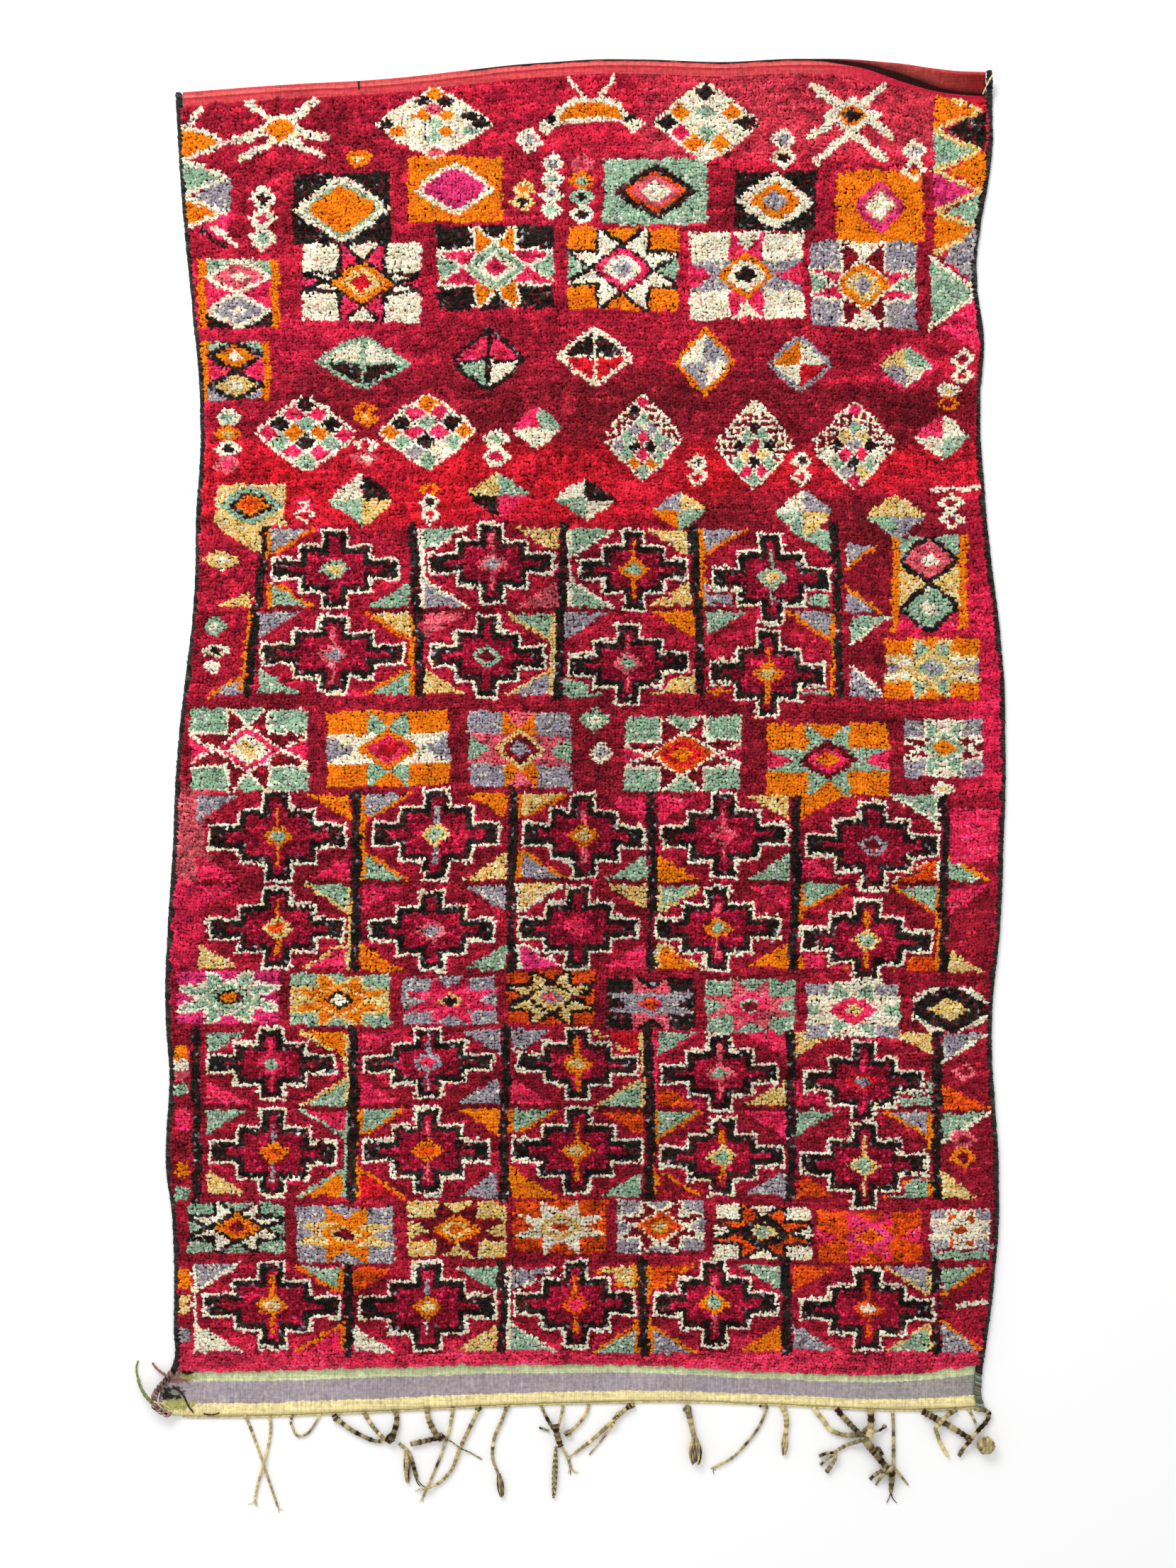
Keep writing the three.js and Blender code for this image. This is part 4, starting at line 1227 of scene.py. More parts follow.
def weave_group():
    """Flat weave: rows of weft over ribs of warp, as a height and a painted shade that darkens the grooves
    between them.
    """
    sockets = {"Warps per metre": "Float", "Picks per metre": "Float"}
    tree = new_tree("Flat weave", "ShaderNodeTree", sockets, {"Height": "Float", "Shade": "Float"})
    given = add_node(tree, "NodeGroupInput").outputs
    place = output(tree, "ShaderNodeTexCoord", which="Object")
    wander = output(tree, "ShaderNodeTexNoise", {"Vector": place, **WANDER_NOISE})
    split = add_node(tree, "ShaderNodeSeparateXYZ", {0: place}).outputs
    warp = maths(tree, "MULTIPLY", split["X"], given["Warps per metre"])
    warp = maths(tree, "MULTIPLY_ADD", wander, WARP_WANDER, warp)
    pick = maths(tree, "MULTIPLY", split["Y"], given["Picks per metre"])
    pick = maths(tree, "MULTIPLY_ADD", wander, PICK_WANDER, pick)
    half_step = maths(tree, "MULTIPLY", maths(tree, "FLOOR", pick), 0.5)
    rib = maths(tree, "SINE", maths(tree, "MULTIPLY", maths(tree, "ADD", warp, half_step), math.tau))
    row = maths(tree, "ABSOLUTE", maths(tree, "SINE", maths(tree, "MULTIPLY", pick, math.pi)))
    height = maths(tree, "MULTIPLY", row, maths(tree, "MULTIPLY_ADD", rib, BEAD_DEPTH, 1 - BEAD_DEPTH))
    # Painted shade: the low grooves of the weave are darker than its beads
    shade = maths(tree, "MULTIPLY_ADD", height, *PAINTED_GROOVE_SHADE)
    add_node(tree, "NodeGroupOutput", {"Height": height, "Shade": shade})
    return tree


WOOL_ROUGHNESS = 0.92
WOOL_SHINE = 0.04


def new_material(name, sheen=0.0):
    """A material with only a Principled shader, and that shader."""
    material = bpy.data.materials.new(name)
    material.use_nodes = True
    shader = material.node_tree.nodes["Principled BSDF"]
    shader.inputs["Roughness"].default_value = WOOL_ROUGHNESS
    shader.inputs["Specular IOR Level"].default_value = WOOL_SHINE
    shader.inputs["Sheen Weight"].default_value = sheen
    return material, shader


def group_node(tree, name, make, inputs):
    """Outputs of a shader group that is placed in a material with its own values."""
    return add_node(tree, "ShaderNodeGroup", inputs, node_tree=tree_named(name, make)).outputs


def dress(tree, shader, colour, shade, bump, depth, height):
    """Links a colour, its shade and a relief to a shader."""
    tree.links.new(vector_maths(tree, "SCALE", colour, shade), shader.inputs["Base Color"])
    relief = output(tree, "ShaderNodeBump", {"Strength": bump, "Distance": depth, "Height": height})
    tree.links.new(relief, shader.inputs["Normal"])


# Finishes of the dyed yarns: painted shade at the root, fibres for each metre, their contrast, bump and
# sheen
Finish = namedtuple("Finish", "name root_shade fibre_scale contrast bump sheen")
PILE_WOOL = Finish("wool_pile", 0.66, 420.0, 0.55, 0.5, 0.06)
GOAT_HAIR = Finish("goat_hair_binding", 0.55, 900.0, 0.9, 0.6, 0.1)
WARP_YARN = Finish("warp_yarn", 0.5, 1100.0, 0.7, 0.5, 0.1)
FIBRE_DEPTH = 0.001
SHEEN_ROUGHNESS = 0.45


def yarn_material(finish):
    """Dyed wool yarn: its own dye, darkened towards the root as painted shade, with fine fibres."""
    material, shader = new_material(finish.name, finish.sheen)
    shader.inputs["Sheen Roughness"].default_value = SHEEN_ROUGHNESS
    tree = material.node_tree
    dye = output(tree, "ShaderNodeAttribute", which="Color", attribute_name="dye")
    tip = output(tree, "ShaderNodeAttribute", which="Fac", attribute_name="tip")
    fineness = {"Scale": finish.fibre_scale, "Contrast": finish.contrast}
    fibres = group_node(tree, "Wool fibres", fibre_group, fineness)
    # Painted shade: the dye darkens from the tip down to the root, where the yarns shade each other
    deep = maths(tree, "MULTIPLY_ADD", tip, 1.0 - finish.root_shade, finish.root_shade)
    shade = maths(tree, "MULTIPLY", deep, fibres["Shade"])
    dress(tree, shader, dye, shade, finish.bump, FIBRE_DEPTH, fibres["Height"])
    return material


# Stripes of the flat-woven end, as shares of its depth from the bottom edge, and of the heading, as
# shares of its depth from the top edge
STRIPES = [(0.0, "kilim_yellow"), (0.26, "kilim_lilac"), (0.71, "kilim_green"), (1.04, "backing")]
HEADING_STRIPES = [(0.0, "heading"), (0.20, "heading_light"), (0.42, "heading_dark"), (0.58, "heading")]
RAMP_REACH = 1.2

# The dark line along part of the top edge, the fold of the curled heading as (x, share of the heading), with
# painted shade in its crease and on its flap, and the opening of the cupped corner, with painted shadow in
# its hollow
EDGE_LINE = {"left": -0.190, "right": 0.446, "depth": 0.13}
FOLD = [(0.400, -0.1), (0.468, 0.1), (0.556, 0.35), (0.645, 0.67), (0.734, 0.78), (0.775, 0.80)]
FOLD_WIDTH = [(0.400, 0.05), (0.500, 0.11), (0.600, 0.16), (0.655, 0.14), (0.700, 0.07), (0.790, 0.05)]

# Patches round the cupped corner's opening: the brown binding at its rim, the lining, a dark spot, and the
# binding's dark colour as painted shadow in the hollow, with a patch of the kilim's grey inside it
Opening = namedtuple("Opening", "x y across up dye")
OPENINGS = table(
    Opening,
    (-0.737, -1.11, 0.026, 0.013, "brown_binding"), (-0.722, -1.108, 0.014, 0.006, "lining"),
    (-0.716, -1.096, 0.015, 0.008, "dark_warp"), (-0.738, -1.16, 0.03, 0.014, "lining"),
    (-0.75, -1.139, 0.024, 0.0135, "binding"), (-0.742, -1.137, 0.011, 0.0065, "kilim_grey"),
)

# Unevenness of the flat weave, in waves for each metre across, along and through it
NOISES = {
    "wobble": (22, 22, 22), "patchy": (7, 7, 7), "ragged": (150, 60, 1), "grain": (160, 160, 160),
    "streaks": (9, 330, 1), "ribs": (340, 22, 1),
}
NOISE_DETAIL = 4.0
STRIPE_WAVES = {"wobble": 0.06, "ragged": 0.12}
SHADES = {"patchy": (0.5, 1.06), "streaks": (1.0, 1.0), "grain": (1.2, 1.0), "ribs": (0.9, 1.0)}

# Marks on the flat weave, both where it is rubbed or changes its dye and where painted shade lies on it:
# gain and shift of the value each follows, and its strength
WearAndShade = namedtuple("WearAndShade", "gain shift strength")
GREYED = WearAndShade(2.4, -1.1, 0.8)
BLUE_PICKS = WearAndShade(5.0, 0.2, 0.6)
BARE_WARPS = WearAndShade(3.0, -0.25, 0.45)
STAINED = WearAndShade(-8.0, 0.8, 0.32)
STAIN_GRAIN = 2.0
PAST_SEAM = WearAndShade(7.0, -3.1, 1.0)
# Painted shade: FAR_END darkens the curled flap towards its far end, CLEAR_OF_FOLD fades the painted shadow
# out from the fold, and INSIDE_OPENING fades in the patches at the cupped corner, one of them painted shadow
FAR_END = WearAndShade(7.0, -4.3, 1.0)
CLEAR_OF_FOLD = WearAndShade(-0.3, -0.1, 1.0)
INSIDE_OPENING = WearAndShade(-3.0, 3.2, 1.0)
OPENING_GRAIN = 1.6

# The heading's waves and where it ends, its rolled edge and its seam
HEADING_WAVE = 0.10
HEADING_END = 1.03
FOLD_WAVE = 0.8
EDGE_WAVE = 0.3
ROLLED_EDGE = 0.10
SEAM = {"low": 0.92, "left": 0.41, "right": 0.53}
FLAT_WEAVE = {"Warps per metre": 210.0, "Picks per metre": 620.0}
FLAT_FIBRES = {"Scale": 700.0, "Contrast": 0.5}
FLAT_BUMP = 0.7
FLAT_DEPTH = 0.0012
FLAT_SHEEN = 0.1


def stripe_ramp(tree, dyes, stripes, place):
    """Colour of a stripe at a place, without blending from one stripe to the next."""
    made = add_node(tree, "ShaderNodeValToRGB", {"Fac": maths(tree, "DIVIDE", place, RAMP_REACH)})
    ramp = made.color_ramp
    ramp.interpolation = "CONSTANT"
    for index, (start, name) in enumerate(stripes):
        stop = ramp.elements[index] if index < 2 else ramp.elements.new(start / RAMP_REACH)
        stop.position = start / RAMP_REACH
        stop.color = (*linear(getattr(dyes, name)), 1)
    return made.outputs[0]


# Places of the colours among a mix's inputs and outputs
BELOW = 6
ABOVE = 7
MIXED = 2


def over(tree, factor, below, above):
    """One colour over another."""
    layers = {"Factor": factor, BELOW: below, ABOVE: above}
    return output(tree, "ShaderNodeMix", layers, MIXED, data_type="RGBA")


def between(tree, value, low, high):
    """1 where a value lies between two limits."""
    above = maths(tree, "GREATER_THAN", value, low)
    return maths(tree, "MULTIPLY", above, maths(tree, "LESS_THAN", value, high))


def applied(tree, value, mark):
    """Strength of a mark that follows a value, for the weave's own marks and for painted shade, held between
    0 and the most it reaches.
    """
    reach = maths(tree, "MINIMUM", maths(tree, "MULTIPLY_ADD", value, mark.gain, mark.shift), 1.0)
    return maths(tree, "MULTIPLY", maths(tree, "MAXIMUM", reach, 0.0), mark.strength)


def foundation_material(dyes):
    """The cloth under the knots: striped flat weave below, backing in the field, heading above."""
    material, shader = new_material("foundation_weave", FLAT_SHEEN)
    tree = material.node_tree

    def kept(name):
        return output(tree, "ShaderNodeAttribute", which="Fac", attribute_name=name)

    def noise(scale):
        stretched = vector_maths(tree, "MULTIPLY", place, scale)
        inputs = {"Vector": stretched, "Scale": 1.0, "Detail": NOISE_DETAIL}
        return maths(tree, "SUBTRACT", output(tree, "ShaderNodeTexNoise", inputs), 0.5)

    def wavy(name, strength, value):
        return maths(tree, "MULTIPLY_ADD", noises[name], strength, value)

    def both(first, second):
        return maths(tree, "MULTIPLY", first, second)

    def dyed(name):
        return (*linear(getattr(dyes, name)), 1)

    place = output(tree, "ShaderNodeTexCoord", which="Object")
    x = output(tree, "ShaderNodeSeparateXYZ", {0: place}, "X")
    noises = {name: noise(scale) for name, scale in NOISES.items()}
    kilim = kept("kilim")
    for name, strength in STRIPE_WAVES.items():
        kilim = wavy(name, strength, kilim)
    colour = stripe_ramp(tree, dyes, STRIPES, kilim)
    in_lilac = between(tree, kilim, STRIPES[1][0], STRIPES[2][0])
    blue = both(applied(tree, noises["streaks"], BLUE_PICKS), in_lilac)
    colour = over(tree, blue, colour, dyed("kilim_blue"))
    colour = over(tree, both(applied(tree, x, GREYED), in_lilac), colour, dyed("kilim_grey"))
    colour = over(tree, applied(tree, noises["ribs"], BARE_WARPS), colour, dyed("warp"))
    stained = applied(tree, wavy("grain", STAIN_GRAIN / STAINED.gain, kilim), STAINED)
    colour = over(tree, stained, colour, dyed("dark_warp"))
    heading = wavy("wobble", HEADING_WAVE, kept("heading"))
    in_heading = maths(tree, "LESS_THAN", kept("heading"), HEADING_END)
    colour = over(tree, in_heading, colour, stripe_ramp(tree, dyes, HEADING_STRIPES, heading))
    fold = wavy("wobble", FOLD_WAVE, kept("fold"))
    under_fold = both(in_heading, maths(tree, "GREATER_THAN", fold, 0.0))
    colour = over(tree, both(under_fold, applied(tree, x, PAST_SEAM)), colour, dyed("crimson"))
    # The curled flap is partly the heading's back and partly painted shade: darker towards its far end, the
    # plain heading colour along its rolled edge, and painted shadow fading out from the fold
    flap = over(tree, applied(tree, x, FAR_END), dyed("flap"), dyed("shaded_flap_end"))
    flap = over(tree, between(tree, heading, -1.0, ROLLED_EDGE), flap, dyed("heading"))
    flap = over(tree, applied(tree, fold, CLEAR_OF_FOLD), dyed("fold_shadow"), flap)
    colour = over(tree, maths(tree, "LESS_THAN", fold, 0.0), colour, flap)
    # Painted shadow along the crease of the fold
    crease = maths(tree, "LESS_THAN", maths(tree, "ABSOLUTE", fold), 1.0)
    colour = over(tree, crease, colour, dyed("fold_shadow"))
    by_seam = between(tree, x, SEAM["left"], SEAM["right"])
    seam = both(between(tree, heading, SEAM["low"], HEADING_END), by_seam)
    colour = over(tree, seam, colour, dyed("flap"))
    on_edge = maths(tree, "LESS_THAN", wavy("wobble", EDGE_WAVE, heading), EDGE_LINE["depth"])
    on_edge = both(on_edge, between(tree, x, EDGE_LINE["left"], EDGE_LINE["right"]))
    colour = over(tree, on_edge, colour, dyed("fold_shadow"))
    # The openings' patches, the dark one a painted shadow in the cup's hollow
    for opening in OPENINGS:
        centre = (opening.x / opening.across, opening.y / opening.up, 0.0)
        near = vector_maths(tree, "MULTIPLY", place, (1 / opening.across, 1 / opening.up, 0.0))
        ends = {0: near, 1: centre}
        out = output(tree, "ShaderNodeVectorMath", ends, "Value", operation="DISTANCE")
        inside = applied(tree, wavy("grain", OPENING_GRAIN, out), INSIDE_OPENING)
        colour = over(tree, inside, colour, dyed(opening.dye))
    weave = group_node(tree, "Flat weave", weave_group, FLAT_WEAVE)
    fibres = group_node(tree, "Wool fibres", fibre_group, FLAT_FIBRES)
    shade = both(weave["Shade"], fibres["Shade"])
    for name, (strength, base) in SHADES.items():
        shade = both(shade, wavy(name, strength, base))
    dress(tree, shader, colour, shade, FLAT_BUMP, FLAT_DEPTH, weave["Height"])
    return material


def colour_property(name, default):
    """A colour in display values."""
    return FloatVectorProperty(
        name=name,
        description=f"Colour of the {name.lower()}",
        subtype="COLOR_GAMMA",
        size=3,
        min=0,
        max=1,
        default=default,
    )


class RugDyes(bpy.types.PropertyGroup):
    """Dyes of the yarns."""

    crimson: colour_property("Crimson", (0.80, 0.145, 0.255))
    maroon: colour_property("Maroon", (0.50, 0.105, 0.15))
    wine: colour_property("Wine", (0.64, 0.085, 0.20))
    madder: colour_property("Madder", (0.87, 0.125, 0.175))
    raspberry: colour_property("Raspberry", (1.0, 0.19, 0.39))
    magenta: colour_property("Magenta", (0.95, 0.24, 0.50))
    rose: colour_property("Rose", (0.93, 0.42, 0.46))
    orange: colour_property("Orange", (0.96, 0.54, 0.07))
    flame: colour_property("Flame", (0.94, 0.34, 0.09))
    straw: colour_property("Straw", (0.93, 0.80, 0.48))
    cream: colour_property("Cream", (0.98, 0.95, 0.855))
    mint: colour_property("Mint", (0.61, 0.745, 0.62))
    lilac: colour_property("Lilac", (0.66, 0.62, 0.66))
    black: colour_property("Black", (0.155, 0.135, 0.12))
    kilim_green: colour_property("Kilim green", (0.83, 0.87, 0.67))
    kilim_lilac: colour_property("Kilim lilac", (0.70, 0.645, 0.655))
    kilim_yellow: colour_property("Kilim yellow", (0.98, 0.91, 0.66))
    kilim_grey: colour_property("Kilim grey", (0.60, 0.60, 0.54))
    kilim_blue: colour_property("Kilim blue", (0.57, 0.55, 0.64))
    heading: colour_property("Heading", (0.80, 0.27, 0.29))
    heading_light: colour_property("Heading light", (0.86, 0.39, 0.37))
    heading_dark: colour_property("Heading dark", (0.70, 0.19, 0.23))
    # The flap's colours are the heading's back darkened as painted shade, darker still at the far end
    flap: colour_property("Flap", (0.70, 0.29, 0.26))
    shaded_flap_end: colour_property("Flap end", (0.54, 0.13, 0.12))
    fold_shadow: colour_property("Fold shadow", (0.17, 0.055, 0.05))
    lining: colour_property("Lining", (0.72, 0.70, 0.42))
    green_yarn: colour_property("Green yarn", (0.52, 0.54, 0.33))
    grey_binding: colour_property("Grey binding", (0.45, 0.45, 0.40))
    # The backing's dark red is partly its own colour and partly painted shade, where it shows deep between
    # the tufts
    backing: colour_property("Backing", (0.50, 0.08, 0.15))
    binding: colour_property("Binding", (0.20, 0.18, 0.17))
    brown_binding: colour_property("Brown binding", (0.56, 0.41, 0.37))
    warp: colour_property("Warp", (0.92, 0.84, 0.61))
    dark_warp: colour_property("Dark warp", (0.19, 0.11, 0.065))


def length_property(name, description, default):
    """A length in metres."""
    return FloatProperty(name=name, description=description, default=default, unit="LENGTH")


def angle_property(name, description, degrees):
    """An angle, given in degrees."""
    default = math.radians(degrees)
    return FloatProperty(name=name, description=description, default=default, subtype="ANGLE")


class RugSizes(bpy.types.PropertyGroup):
    """Sizes of the yarns and the pile."""

    knot: length_property("Knot", "Distance from one knot to the next", 0.00665)
    pile_height: length_property("Pile height", "Height of the pile's tips above the floor", 0.014)
    tuft: length_property("Tuft", "Distance from one tuft of pile to the next", 0.0053)
    root_height: length_property("Root height", "Height of the knots' roots above the floor", 0.004)
    foundation: length_property("Foundation", "Thickness of the cloth that the knots are tied on", 0.0055)
    flat_weave: length_property("Flat weave", "Thickness of the flat-woven ends", 0.004)
    lock_radius: length_property("Lock radius", "Radius of one lock of pile", 0.0063)
    lean: angle_property("Lean", "How far the pile leans towards the fringe", 30)
    sway: angle_property("Sway", "How far single locks lean out of line", 10)
    most_lean: angle_property("Most lean", "The most that a lock leans", 45)
    clumping: angle_property("Clumping", "How far locks lean together in clumps", 15)
    binding_height: length_property("Binding height", "Height of the overcast side bindings", 0.011)
    stitch_pitch: length_property("Stitch pitch", "Distance between two overcast stitches", 0.0052)
    yarn_twist: FloatProperty(
        name="Yarn twist", description="Turn of the yarns in radians for each metre", default=330.0
    )
    seed: IntProperty(name="Seed", description="Seed of the yarn's unevenness", default=7)


class RugStudio(bpy.types.PropertyGroup):
    """Floor, light and camera."""

    floor: colour_property("Floor", (0.985, 0.985, 0.985))
    daylight: FloatProperty(
        name="Daylight", description="Strength of the even light from all round", default=0.79
    )
    window: FloatProperty(
        name="Window",
        description="Power of the large soft light above the heading",
        default=150.0,
        unit="POWER",
    )
    camera_height: length_property("Camera height", "Height of the camera over the floor", 4.10)
    camera_across: length_property("Camera across", "Place of the camera across the rug", 0.0326)
    camera_along: length_property("Camera along", "Place of the camera along the rug", 0.006)


# The cloth's grid, its flat size and the small waves of its flat-woven end
KILIM_ROWS = [0, 0.06, 0.14, 0.22, 0.27, 0.36, 0.5, 0.64, 0.78, 0.88, 0.96, 1.0]
FIELD_ROWS = 44
HEADING_ROWS = 17
HEADING_RIDGES = 3
HEADING_RELIEF = 0.0009
EDGE_STEPS = [0, 0.006, 0.013, 0.021, 0.031, 0.043, 0.058, 0.078, 0.105]
MIDDLE_COLUMNS = 70
CLOTH_WIDTH = 1.51
SHEET = "woven_foundation"
COCKLE = {"height": 0.0005, "across": 0.021, "up": 0.013}
NO_FOLD = 9.0


def settle(piece, material_slot, *nodes):
    """Lets a finished piece ride on the rug and hides the solids it stands for; the material slot is not
    used.
    """
    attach(piece, BODY)
    if nodes:
        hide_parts(*nodes)


def closed_sheet(name, upper, lower):
    """A closed mesh between two grids of points of the same size."""
    rows, columns = upper.shape[:2]
    count = rows * columns
    index = np.arange(count).reshape(rows, columns)
    faces = []

    def quads(first, second, third, fourth):
        faces.extend(np.stack([first, second, third, fourth], axis=-1).reshape(-1, 4).tolist())

    quads(index[:-1, :-1], index[:-1, 1:], index[1:, 1:], index[1:, :-1])
    under = index + count
    quads(under[:-1, :-1], under[1:, :-1], under[1:, 1:], under[:-1, 1:])
    rim = np.concatenate([index[0, :-1], index[:-1, -1], index[-1, :0:-1], index[:0:-1, 0]])
    after = np.roll(rim, -1)
    quads(after, rim, rim + count, after + count)
    mesh = bpy.data.meshes.new(name)
    points = np.concatenate([upper.reshape(-1, 3), lower.reshape(-1, 3)])
    mesh.from_pydata(points.tolist(), [], faces)
    mesh.shade_smooth()
    return mesh


class RUG_OT_weave_foundation(bpy.types.Operator):
    """Weave the foundation with its flat-woven end and heading"""

    bl_idname = "rug.weave_foundation"
    bl_label = "Weave foundation"

    def execute(self, context):
        sizes = context.scene.rug_sizes
        left = np.array(EDGE_STEPS) / (CLOTH_WIDTH - 2 * BINDING_WIDTH)
        middle = np.linspace(left[-1], 1 - left[-1], MIDDLE_COLUMNS)[1:-1]
        across = np.concatenate([left, middle, 1 - left[::-1]])
        field = 1 + np.linspace(0, 1, FIELD_ROWS + 2)[1:-1]
        up = np.concatenate([KILIM_ROWS, field, 2 + np.linspace(0, 1, HEADING_ROWS)])[:, None]

        def y_at(x, row):
            bottom, top = along(BOTTOM_EDGE, x), along(TOP_EDGE, x)
            start, end = pile_bottom(x), pile_top(x)
            kilim = bottom + (start - bottom) * np.clip(row, 0, 1)
            knots = (end - start) * np.clip(row - 1, 0, 1)
            return kilim + knots + (top - end) * np.clip(row - 2, 0, 1)

        x, y = cloth_grid(across[None, :], up, y_at, BINDING_WIDTH + PIECE_GAP)
        base = lift(x, y)
        ridge = np.abs(np.sin(np.clip(up - 2, 0, 1) * math.pi * HEADING_RIDGES))
        thickness = np.where((up >= 1) & (up <= 2), sizes.foundation, sizes.flat_weave)
        cockle = COCKLE["height"] * np.sin(x / COCKLE["across"] + np.sin(y / COCKLE["up"])) * (up < 1)
        top = base + thickness + HEADING_RELIEF * ridge + cockle
        mesh = closed_sheet(SHEET, np.stack([x, y, top], axis=-1), np.stack([x, y, base], axis=-1))
        heading = (along(TOP_EDGE, x) - y) / heading_depth(x)
        fold = (heading - along(FOLD, x)) / along(FOLD_WIDTH, x)
        shares = {
            "kilim": (y - along(BOTTOM_EDGE, x)) / along(KILIM_DEPTH, x),
            "heading": heading,
            "fold": np.where(x < FOLD[0][0], NO_FOLD, fold),
        }
        for name, share in shares.items():
            keep(mesh, name, "FLOAT", np.tile(share.ravel(), 2))
        mesh.materials.append(foundation_material(context.scene.rug_dyes))
        settle(add_object(SHEET, mesh), "wool_pile", "woven_body")
        return {"FINISHED"}


# How the pile is set and leans: bands of rows, places along the lines, and shares of the lean
PILE_BANDS = 5
PILE_INSET = 0.0108
JITTER = 0.13
OVERHANG = 0.016
CLUMP = (3, 3)
BRUSH_LENGTH = (1.9, 1.4)
BRUSHED_LEAN = 0.45
OVERHANG_LEAN = 0.5
ASIDE_LEAN = 0.3
CREASE_LEAN = 1.3
LOCK_SPREAD = 0.16


class RUG_OT_knot_pile(bpy.types.Operator):
    """Tie the knots of the field, row by row, each in the dye of the chart"""

    bl_idname = "rug.knot_pile"
    bl_label = "Knot pile"

    def execute(self, context):
        sizes, dyes = context.scene.rug_sizes, context.scene.rug_dyes
        chance = np.random.default_rng(sizes.seed)
        columns = round((CLOTH_WIDTH - 2 * BINDING_WIDTH) / sizes.tuft)
        rows = round(float(pile_top(0.0) - pile_bottom(0.0)) / sizes.tuft)
        across = (np.arange(columns) + 0.5) / columns
        up = ((np.arange(rows) + 0.5) / rows)[:, None]

        def y_at(x, row):
            return pile_bottom(x) + (pile_top(x) - pile_bottom(x)) * row

        x, y = cloth_grid(across[None, :], up, y_at, PILE_INSET)
        colour = dyed_knots(x, y, sizes.knot, dyes, chance)
        jitter = JITTER * sizes.tuft
        x = x + chance.normal(0, jitter, x.shape)
        y = y + chance.normal(0, jitter, y.shape)
        lean = self.leaning(sizes, chance, x, y, up)
        height = pile_height(x, y, sizes.pile_height) - sizes.root_height
        height = height / np.cos(sizes.lean)
        size = np.stack([np.full(x.shape, sizes.lock_radius)] * 2 + [height], axis=-1)
        place = np.stack([x, y, lift(x, y) + sizes.root_height], axis=-1)
        settings = {
            "Piece": wool_lock(),
            "Random turn": math.tau,
            "Sway": sizes.sway,
            "Size spread": LOCK_SPREAD,
            "Yarn": yarn_material(PILE_WOOL),
        }
        for band, chosen in enumerate(np.array_split(np.arange(rows), PILE_BANDS)):
            settings["Seed"] = sizes.seed + band
            name = f"pile_{band + 1}"
            values = (part[chosen].reshape(-1, 3) for part in (place, lean, size, colour))
            settle(plant(name, *values, settings), "wool_pile")
        bpy.data.objects.remove(settings["Piece"])
        return {"FINISHED"}

    def leaning(self, sizes, chance, x, y, up):
        """Turn of each lock: towards the fringe, out of the crease and together in clumps."""
        column, row = x / sizes.knot, y / sizes.knot
        brushed = ripple(column / BRUSH_LENGTH[0], row / BRUSH_LENGTH[1])
        parted = np.clip((x - CREASE["x"]) / CREASE["width"], -1, 1)
        in_crease = (np.abs(parted) < 1) & (y > CREASE["low"]) & (y < CREASE["high"])
        overhang = np.clip(1 - up / OVERHANG, 0, 1)
        down = 1 + BRUSHED_LEAN * brushed + OVERHANG_LEAN * overhang
        down = sizes.lean * down + sizes.clumping * mottle(chance, x.shape, CLUMP)
        aside = ASIDE_LEAN * ripple(row, column) + CREASE_LEAN * parted * in_crease
        aside = sizes.lean * aside + sizes.clumping * mottle(chance, x.shape, CLUMP)
        turn = np.stack([down, aside, np.zeros(x.shape)], axis=-1)
        return turn.clip(-sizes.most_lean, sizes.most_lean)


# Side cords and stitches: places in metres, the cords' size as shares of the binding, and the hair's shade
BINDING_SEED = 20
STITCH_SEED = 30
BINDING_SIDES = 10
BINDING_STEP = 0.012
DARK_ABOVE = -1.100
CORD_SIZE = (0.33, 0.36)
CORD_CENTRE = 1.08
# The side cords sit part way up the painted root shade, so they are darker all along
CORD_TIP = 0.4
STITCH_MARGIN = 0.003
LOOK_AHEAD = 0.004
STITCH_FULLNESS = 1.5
STITCH_TURN = math.radians(10)
STITCH_SWAY = math.radians(5)
STITCH_SPREAD = 0.08
HAIR_SPREAD = 0.45
HAIR_TINT = 0.06
DARKEST_HAIR = 0.003


